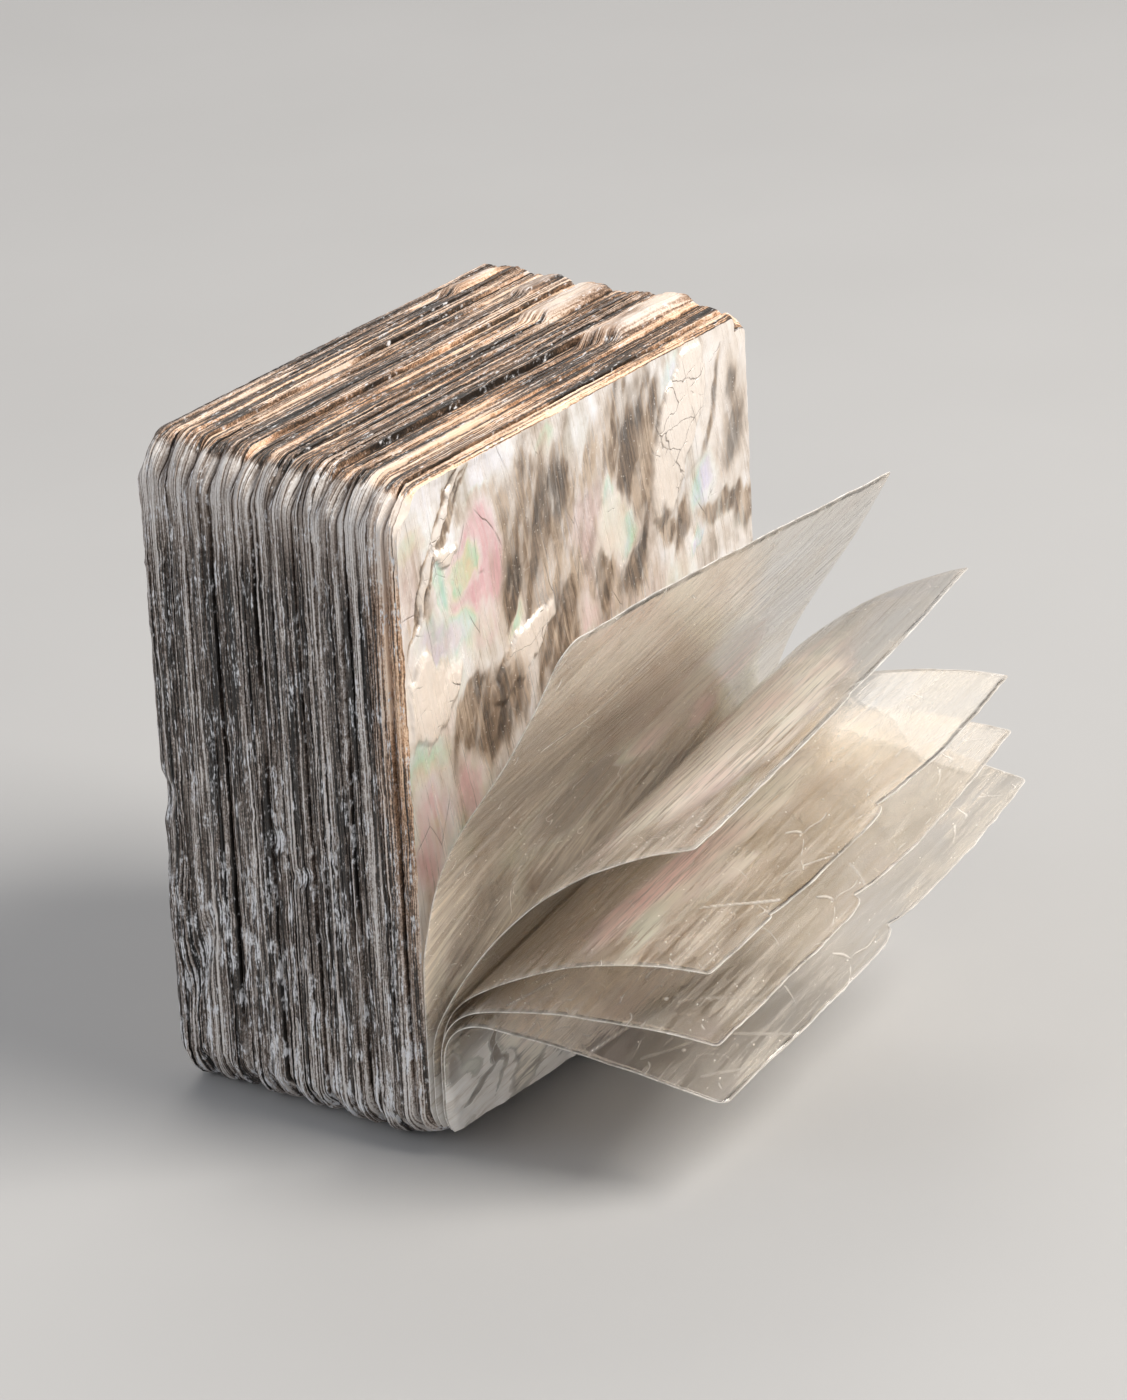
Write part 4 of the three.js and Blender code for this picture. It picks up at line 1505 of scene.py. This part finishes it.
@dataclass
class Leaf:
    """One clear leaf, bent away from the book's front along a tilted hinge line.

    Its bend is tabled up to LENGTH millimetres from the hinge line, every STEP.
    """

    LENGTH = 90.0
    STEP = 0.05

    name: str
    finish: LeafFinish
    standoff: float
    tilt: float
    start: float
    end: float
    fold: float
    curl: float
    left: float
    right: float
    tall_left: float
    tall_right: float
    nicks: tuple[Nick, ...] = ()
    bow: float = 1.0
    corner_left: float = 0.5
    corner_right: float = 0.4
    haze: float = 0.30
    # Places painted with highlights, shade or the leaf's own tints.
    tints_and_painted_light: tuple[Patch, ...] = ()
    creases: tuple[Crease, ...] = ()
    wrinkle: float = 0.25
    ridged: float = 0.0
    streak_turn: float = 0.0
    lower: float = 3.2
    foot_level: float = 1.3
    foot_radius: float = 5.0
    thick: float = 0.26
    cells: tuple[int, int] = (212, 204)
    seed: int = 1

    def __post_init__(self) -> None:
        """Draws the leaf's noise and tables its bend.

        The leaf's turn is 0 up to start, eases to the fold at end, and then curls steadily.
        How far it has risen and how far it has come forward are sums of the turn's cosine and
        sine along the leaf.
        """
        self.grain = Grain(self.seed)
        self.steps = np.arange(0.0, self.LENGTH, self.STEP)
        turn = self.fold * smooth(self.steps, self.start, self.end)
        self.turns = np.radians(turn + self.curl * np.maximum(self.steps - self.end, 0.0))
        middles = (self.turns[1:] + self.turns[:-1]) / 2
        self.ups = np.concatenate([[0.0], np.cumsum(np.cos(middles) * self.STEP)])
        self.outs = np.concatenate([[0.0], np.cumsum(np.sin(middles) * self.STEP)])

    def place(self, x: Array, height: Array, above: Array) -> Array:
        """Bends flat places into the leaf's shape.

        Args:
            x: X of the places on the flat leaf.
            height: Their height on the flat leaf.
            above: How far they stand off its middle, towards the front.

        Returns:
            Places with X, Y and Z last.
        """
        tilt = math.radians(self.tilt)
        cos, sin = math.cos(tilt), math.sin(tilt)
        distance = height * cos - x * sin
        turn = np.interp(distance, self.steps, self.turns)
        along = x * cos + height * sin
        up = np.interp(distance, self.steps, self.ups) + np.minimum(distance, 0.0)
        out = np.interp(distance, self.steps, self.outs) + self.standoff
        up = up - above * np.sin(turn)
        out = out + above * np.cos(turn)
        return np.stack([along * cos - up * sin, -out, along * sin + up * cos], -1)

    def outline(self, share: Array, climb: Array) -> tuple[Array, Array, Array]:
        """Finds places on the flat leaf.

        The top edge runs between its two heights with a bow, nicks and waves. The sides are
        nearly straight and come in at the lower corners, as the book's front does.

        Args:
            share: Places across, from 0 to 1.
            climb: Places up, from 0 to 1.

        Returns:
            X, height, and the distance to the nearest free edge.
        """
        grain = self.grain
        wide = self.right - self.left
        top = self.tall_left + (self.tall_right - self.tall_left) * share
        top = top + self.bow * 4.0 * share * (1.0 - share)
        for nick in self.nicks:
            top = top - nick.drop(share)
        top = top + 0.5 * (grain.layered(share * 9.0, 0.5) - 0.5)
        top = top + 0.22 * (grain.layered(share * 40.0, 3.5) - 0.5)
        for radius, near in ((self.corner_left, share * wide), (self.corner_right, (1.0 - share) * wide)):
            part = np.clip(1.0 - near / radius, 0.0, 1.0)
            top = top - radius * (1.0 - np.sqrt(1.0 - part**2))
        height = self.lower + climb * (top - self.lower)
        near_foot = np.clip(1.0 - (height - self.foot_level) / self.foot_radius, 0.0, 1.0)
        inset = self.foot_radius * (1.0 - np.sqrt(1.0 - near_foot**2))
        loose = smooth(height, 12.0, 26.0)
        waver_left = 0.5 * loose * (grain.layered(height / 7.0, 5.5) - 0.5)
        waver_right = 0.5 * loose * (grain.layered(height / 7.0, 8.5) - 0.5)
        first = self.left + inset + waver_left
        last = self.right - inset + waver_right
        x = first + share * (last - first)
        edge = np.minimum(np.minimum(x - first, last - x), top - height)
        return x, height, np.maximum(edge, 0.0)

    def spread(self, count: int) -> Array:
        """Places from 0 to 1: even inside, with one close row at each end for the rim."""
        return np.concatenate([[0.0, 0.002], np.linspace(0.006, 0.994, count - 3), [0.998, 1.0]])

    def build(self) -> bpy.types.Object:
        """Makes the leaf, a closed skin that thins towards its free edges.

        Returns:
            The piece, riding on the body and standing for its CAD node.
        """
        grain = self.grain
        share, climb = np.meshgrid(self.spread(self.cells[0]), self.spread(self.cells[1]), indexing="ij")
        x, height, edge = self.outline(share, climb)
        free = smooth(height, self.end + 3.0, self.end + 22.0)
        slow = grain.layered(x / 26.0, 1.5, height / 20.0, 2) - 0.5
        fine = grain.layered(x / 9.0, 2.5, height / 3.2, 3) - 0.5
        lift = self.wrinkle * free * (2.6 * slow + 0.55 * fine)
        foot = 1.0 - smooth(height, 6.0, 9.5)
        ridges = np.abs(grain.layered(x / 5.0, 3.5, height / 3.0, 4) - 0.5)
        half = self.thick / 2 * (0.30 + 0.70 * smooth(edge, 0.0, 0.5))
        tilt = math.radians(self.tilt)
        distance = height * math.cos(tilt) - x * math.sin(tilt)
        turn = math.radians(self.streak_turn)
        along = x * math.cos(turn) + distance * math.sin(turn)
        across = distance * math.cos(turn) - x * math.sin(turn)
        chart = np.stack([along, across], -1) * CHART_UNIT
        look = self.paint(x, distance, edge)
        maker = MeshMaker(self.name)
        proud = lift + half + self.ridged * foot * ridges * smooth(edge, 0.0, 1.0)
        front = maker.add_points(self.place(x, height, proud), look, chart)
        rear = maker.add_points(self.place(x, height, lift - half), look, chart)
        maker.add_faces(grid_quads(front))
        maker.add_faces(grid_quads(rear)[:, ::-1])
        loop = square_loop(front.shape[0] - 1, front.shape[1] - 1)
        belt = np.stack([np.append(front[loop], front[0, 0]), np.append(rear[loop], rear[0, 0])], 1)
        maker.add_faces(grid_quads(belt)[:, ::-1])
        piece = maker.build([self.finish.build()], sharp=50.0)
        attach(piece, "root")
        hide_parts(self.name)
        return piece

    def paint(self, x: Array, distance: Array, edge: Array) -> Array:
        """Works out the painted rim, veil, film and hue.

        Args:
            x: X on the flat leaf.
            distance: Distance from the hinge line through the corner.
            edge: Distance to the nearest free edge.

        Returns:
            Four values for each place.
        """
        grain = self.grain
        rim = np.exp(-((edge / 0.13) ** 2)) * (0.20 + 1.1 * grain.layered(x / 2.0, 4.5, distance / 2.0))
        waver = 0.8 * (grain.at(x / 3.0, 5.5, distance / 3.0) - 0.5)
        for crease in self.creases:
            rim = np.maximum(rim, crease.weight(x + waver, distance))
        tip = smooth(x / 62.0 + distance / 58.0, 0.70, 1.45)
        veil = self.haze + 0.35 * (grain.layered(x / 18.0, 6.5, distance / 12.0) - 0.5)
        veil = veil * (1.0 - 0.9 * tip)
        veil = veil + 0.16 * (1.0 - smooth(distance, self.start, self.end + 18.0))
        veil = veil + 0.16 * np.exp(-((edge / 0.9) ** 2))
        film = 0.12 * smooth(grain.layered(x / 14.0, 8.5, distance / 9.0), 0.45, 0.65)
        hue = 0.35 + 0.5 * (grain.layered(x / 12.0, 9.5, distance / 8.0) - 0.5)
        shift = 8.0 * (grain.layered(x / 16.0, 12.5, distance / 5.0, 4) - 0.5)
        # Painted places: painted highlights and painted shade on the first three leaves, the foot's own
        # tints on the fifth.
        for painted_place in self.tints_and_painted_light:
            weight = painted_place.weight(x + 1.5 * shift, distance + shift)
            veil = veil + (painted_place.smoke - veil) * weight * (painted_place.smoke > 0)
            film = film + (painted_place.film - film) * weight
            hue = hue + (painted_place.hue - hue) * weight
        packed = 1.0 - smooth(distance, self.start - 2.5, self.start + 1.5)
        pearly = packed * (0.50 + 0.9 * grain.layered(x / 3.5, 14.5, distance / 2.5, 4))
        pearly = pearly * (1.0 - 0.85 * film)
        rim = np.maximum(rim, pearly)
        return np.clip(np.stack([rim, veil, film, hue], -1), 0.0, 1.0)


def leaves() -> list[Leaf]:
    """Lists the leaves from the book outwards.

    Returns:
        The five leaves, not yet built.
    """
    clear = LeafFinish()
    return [
        Leaf(
            "leaf_1", clear, standoff=0.35, tilt=2.5, start=14.1, end=44.1, fold=35.5, curl=-0.45,
            left=0.7, right=61.6, tall_left=65.6, tall_right=62.3,
            bow=0.8,
            corner_left=3.0,
            haze=0.37,
            streak_turn=28.0,
            # Painted shade in the two dark places, and painted golden highlights right of them.
            tints_and_painted_light=(
                Patch(25.0, 31.0, 11.0, 5.0, -18.0, 0.9, film=0.42, hue=1.0),
                Patch(9.0, 22.0, 6.0, 4.0, -30.0, 0.9, film=0.3, hue=1.0),
                Patch(44.0, 40.0, 7.0, 5.0, -10.0, 0.9, film=0.75, hue=0.36),
                Patch(53.0, 37.0, 3.6, 2.4, 10.0, 0.9, film=0.8, hue=0.27),
                Patch(37.0, 33.0, 6.0, 3.0, -20.0, 0.9, film=0.6, hue=0.30),
                Patch(48.0, 33.0, 3.0, 2.4, 10.0, 0.9, film=0.6, hue=0.16),
            ),
            creases=(
                Crease(8.0, 47.0, 17.0, 48.0, 0.75, 0.26),
                Crease(17.0, 48.0, 27.0, 54.5, 0.6, 0.24),
                Crease(30.0, 56.0, 37.0, 59.5, 0.6, 0.24),
                Crease(4.0, 31.0, 12.0, 36.0, 0.5, 0.22),
                Crease(33.0, 46.0, 40.0, 51.0, 0.5, 0.24),
                Crease(46.0, 52.0, 53.0, 57.0, 0.4, 0.3),
                Crease(40.0, 55.0, 46.0, 60.0, 0.35, 0.3),
            ),
            seed=31,
        ),
        Leaf(
            "leaf_2", clear, standoff=1.05, tilt=12.5, start=9.7, end=16.8, fold=29.5, curl=1.23,
            left=0.7, right=52.8, tall_left=56.0, tall_right=66.2,
            nicks=(Nick(0.53, 0.35, 0.10),),
            haze=0.32,
            # A painted reflection, cream and streaky, across the middle.
            tints_and_painted_light=(Patch(27.0, 41.5, 20.0, 9.0, 8.0, 0.35, film=1.0, hue=0.36),),
            seed=32,
        ),
        Leaf(
            "leaf_3", clear, standoff=1.55, tilt=12.5, start=9.5, end=21.5, fold=61.0, curl=1.4,
            left=1.6, right=56.0, tall_left=48.2, tall_right=61.0,
            nicks=(Nick(0.55, 1.3, 0.08), Nick(0.19, 0.5, 0.05)),
            haze=0.25,
            # Painted highlights in cream, pink and green.
            tints_and_painted_light=(
                Patch(32.0, 34.0, 9.0, 4.5, soft=0.9, film=0.7, hue=0.36),
                Patch(19.0, 38.0, 5.0, 4.0, soft=0.9, film=0.5, hue=0.36),
                Patch(14.5, 33.0, 11.0, 3.2, -8.0, 0.9, film=0.9, hue=0.16),
                Patch(9.0, 37.0, 6.0, 2.4, soft=1.0, film=0.6, hue=0.58),
            ),
            creases=(Crease(14.2, 46.5, 11.5, 40.0, 0.7), Crease(11.5, 40.0, 8.5, 34.0, 0.35)),
            seed=33,
        ),
        Leaf(
            "leaf_4", clear, standoff=2.05, tilt=12.5, start=9.7, end=21.7, fold=83.5, curl=0.85,
            left=0.7, right=57.0, tall_left=46.0, tall_right=57.6,
            nicks=(Nick(0.46, 1.5, 0.08),),
            haze=0.08,
            creases=(
                Crease(2.0, 22.0, 7.0, 25.0, 0.7),
                Crease(26.0, 47.0, 31.0, 41.0, 0.35),
                Crease(7.0, 40.0, 9.0, 45.0, 0.3),
            ),
            seed=34,
        ),
        Leaf(
            "leaf_5", clear, standoff=2.55, tilt=12.5, start=9.9, end=20.5, fold=101.0, curl=0.43,
            left=0.5, right=58.7, tall_left=45.0, tall_right=57.2,
            nicks=(Nick(0.53, 1.2, 0.08),),
            corner_left=1.0,
            haze=0.02,
            # The foot's own cream streaks, dark lines and olive places.
            tints_and_painted_light=(
                Patch(13.5, 5.5, 5.0, 4.6, 10.0, 0.3, film=0.95, hue=0.37),
                Patch(8.0, 6.8, 0.7, 5.0, 14.0, 0.6, film=1.0, hue=1.0),
                Patch(4.6, 4.2, 2.6, 0.5, -12.0, 0.6, film=0.9, hue=1.0),
                Patch(3.8, 7.4, 2.0, 1.3, 20.0, 0.8, film=0.7, hue=0.64),
                Patch(1.2, 9.0, 1.4, 2.4, 10.0, 0.9, film=0.6, hue=0.90),
            ),
            creases=(
                Crease(1.5, 29.5, 6.0, 30.5, 0.8),
                Crease(2.5, 34.0, 9.0, 38.0, 0.3),
                Crease(9.0, 38.0, 14.0, 46.0, 0.3),
                Crease(3.0, 40.0, 9.0, 45.0, 0.3),
                Crease(31.0, 45.0, 33.0, 52.0, 0.6),
                Crease(28.0, 46.0, 31.5, 47.0, 0.6, 0.5),
                Crease(27.0, 49.0, 30.0, 50.0, 0.5, 0.4),
            ),
            ridged=1.4,
            seed=35,
        ),
    ]


# ---- Floor, light and camera ----------------------------------------------------------------


@dataclass
class Stage:
    """The pale floor, the studio's light and the camera."""

    finish: FloorFinish
    reach: float = 2.5
    aim: Triple = (-9.75, -2.93, 42.9)
    azimuth: float = -52.75
    elevation: float = 22.84
    roll: float = -2.75
    distance: float = 587.2
    lens: float = 148.5
    sky: Colour = (0.90, 0.93, 1.0)
    sky_strength: float = 0.32
    bounces: int = 24

    def floor(self) -> bpy.types.Object:
        """Makes the floor, a flat grid at Z 0, centred on the object.

        Returns:
            The floor.
        """
        line = np.linspace(-self.reach, self.reach, 25) / MM
        x, y = np.meshgrid(line, line, indexing="ij")
        maker = MeshMaker("floor")
        points = np.stack([x, y, np.zeros_like(x)], -1) - BOOK_CORNER
        maker.add_faces(grid_quads(maker.add_points(points, np.zeros(4))))
        floor = maker.build([self.finish.build()], sharp=30.0)
        return floor

    def directions(self) -> tuple[Vector, Vector, Vector]:
        """Finds the camera's directions from its azimuth, elevation and roll.

        Returns:
            Unit vectors to its right, up and back.
        """
        around, above = math.radians(self.azimuth), math.radians(self.elevation)
        turn = math.radians(self.roll)
        back = Vector(
            (math.sin(around) * math.cos(above), -math.cos(around) * math.cos(above), math.sin(above))
        )
        level = Vector((0.0, 0.0, 1.0)).cross(back).normalized()
        upright = back.cross(level)
        right = level * math.cos(turn) + upright * math.sin(turn)
        up = upright * math.cos(turn) - level * math.sin(turn)
        return right, up, back

    def camera(self) -> None:
        """Places the camera and makes it the scene's."""
        right, up, back = self.directions()
        data = bpy.data.cameras.new("camera")
        data.lens = self.lens
        data.clip_start, data.clip_end = 0.01, 20.0
        camera = bpy.data.objects.new("camera", data)
        pose = Matrix((right, up, back)).transposed().to_4x4()
        pose.translation = (Vector(self.aim) + back * self.distance) * MM
        camera.matrix_world = pose
        bpy.context.scene.collection.objects.link(camera)
        bpy.context.scene.camera = camera

    def lamp(self, name: str, side: Triple, size: float, power: float, tint: Colour) -> None:
        """Adds a soft square lamp that shines at the object.

        Args:
            name: The lamp's name.
            side: Where it stands from the object: camera's right, up and back, in metres.
            size: Its width in metres.
            power: Its power in watts.
            tint: Its colour.
        """
        right, up, back = self.directions()
        away = right * side[0] + up * side[1] + back * side[2]
        data = bpy.data.lights.new(name, "AREA")
        data.shape = "SQUARE"
        data.size = size
        data.energy = power
        data.color = tint
        lamp = bpy.data.objects.new(name, data)
        lamp.location = Vector(self.aim) * MM + away
        lamp.rotation_euler = away.to_track_quat("Z", "Y").to_euler()
        bpy.context.scene.collection.objects.link(lamp)

    def light(self) -> None:
        """Sets the pale surroundings, the lamps, the view's colours and the light's bounces."""
        world = bpy.data.worlds.new("studio")
        world.use_nodes = True
        background = world.node_tree.nodes["Background"]
        background.inputs["Color"].default_value = (*self.sky, 1.0)
        background.inputs["Strength"].default_value = self.sky_strength
        scene = bpy.context.scene
        scene.world = world
        scene.view_settings.view_transform = "Standard"
        scene.view_settings.look = "None"
        scene.cycles.max_bounces = self.bounces
        scene.cycles.transmission_bounces = self.bounces
        self.lamp("key", (0.62, 0.60, 0.45), size=0.50, power=12.5, tint=(1.0, 0.96, 0.90))
        self.lamp("fill", (-0.85, 0.20, 0.35), size=0.60, power=2.3, tint=(0.92, 0.96, 1.0))
        self.lamp("rim", (-0.10, 0.80, -0.35), size=0.50, power=1.6, tint=(1.0, 0.95, 0.88))

    def build(self) -> None:
        """Makes the floor, the light and the camera."""
        self.floor()
        self.light()
        self.camera()


def main() -> None:
    """Builds the crystal and its stage, piece by piece."""
    logging.basicConfig(level=logging.INFO, format="%(name)s: %(message)s")
    Stage(FloorFinish()).build()
    LOG.info("floor, light and camera stand")
    for piece in Book(EdgeFinish(), PearlFinish()).build():
        LOG.info("%s has %d faces", piece.name, len(piece.data.polygons))
    for leaf in leaves():
        piece = leaf.build()
        LOG.info("%s has %d faces", piece.name, len(piece.data.polygons))


if __name__ == "__main__":
    main()
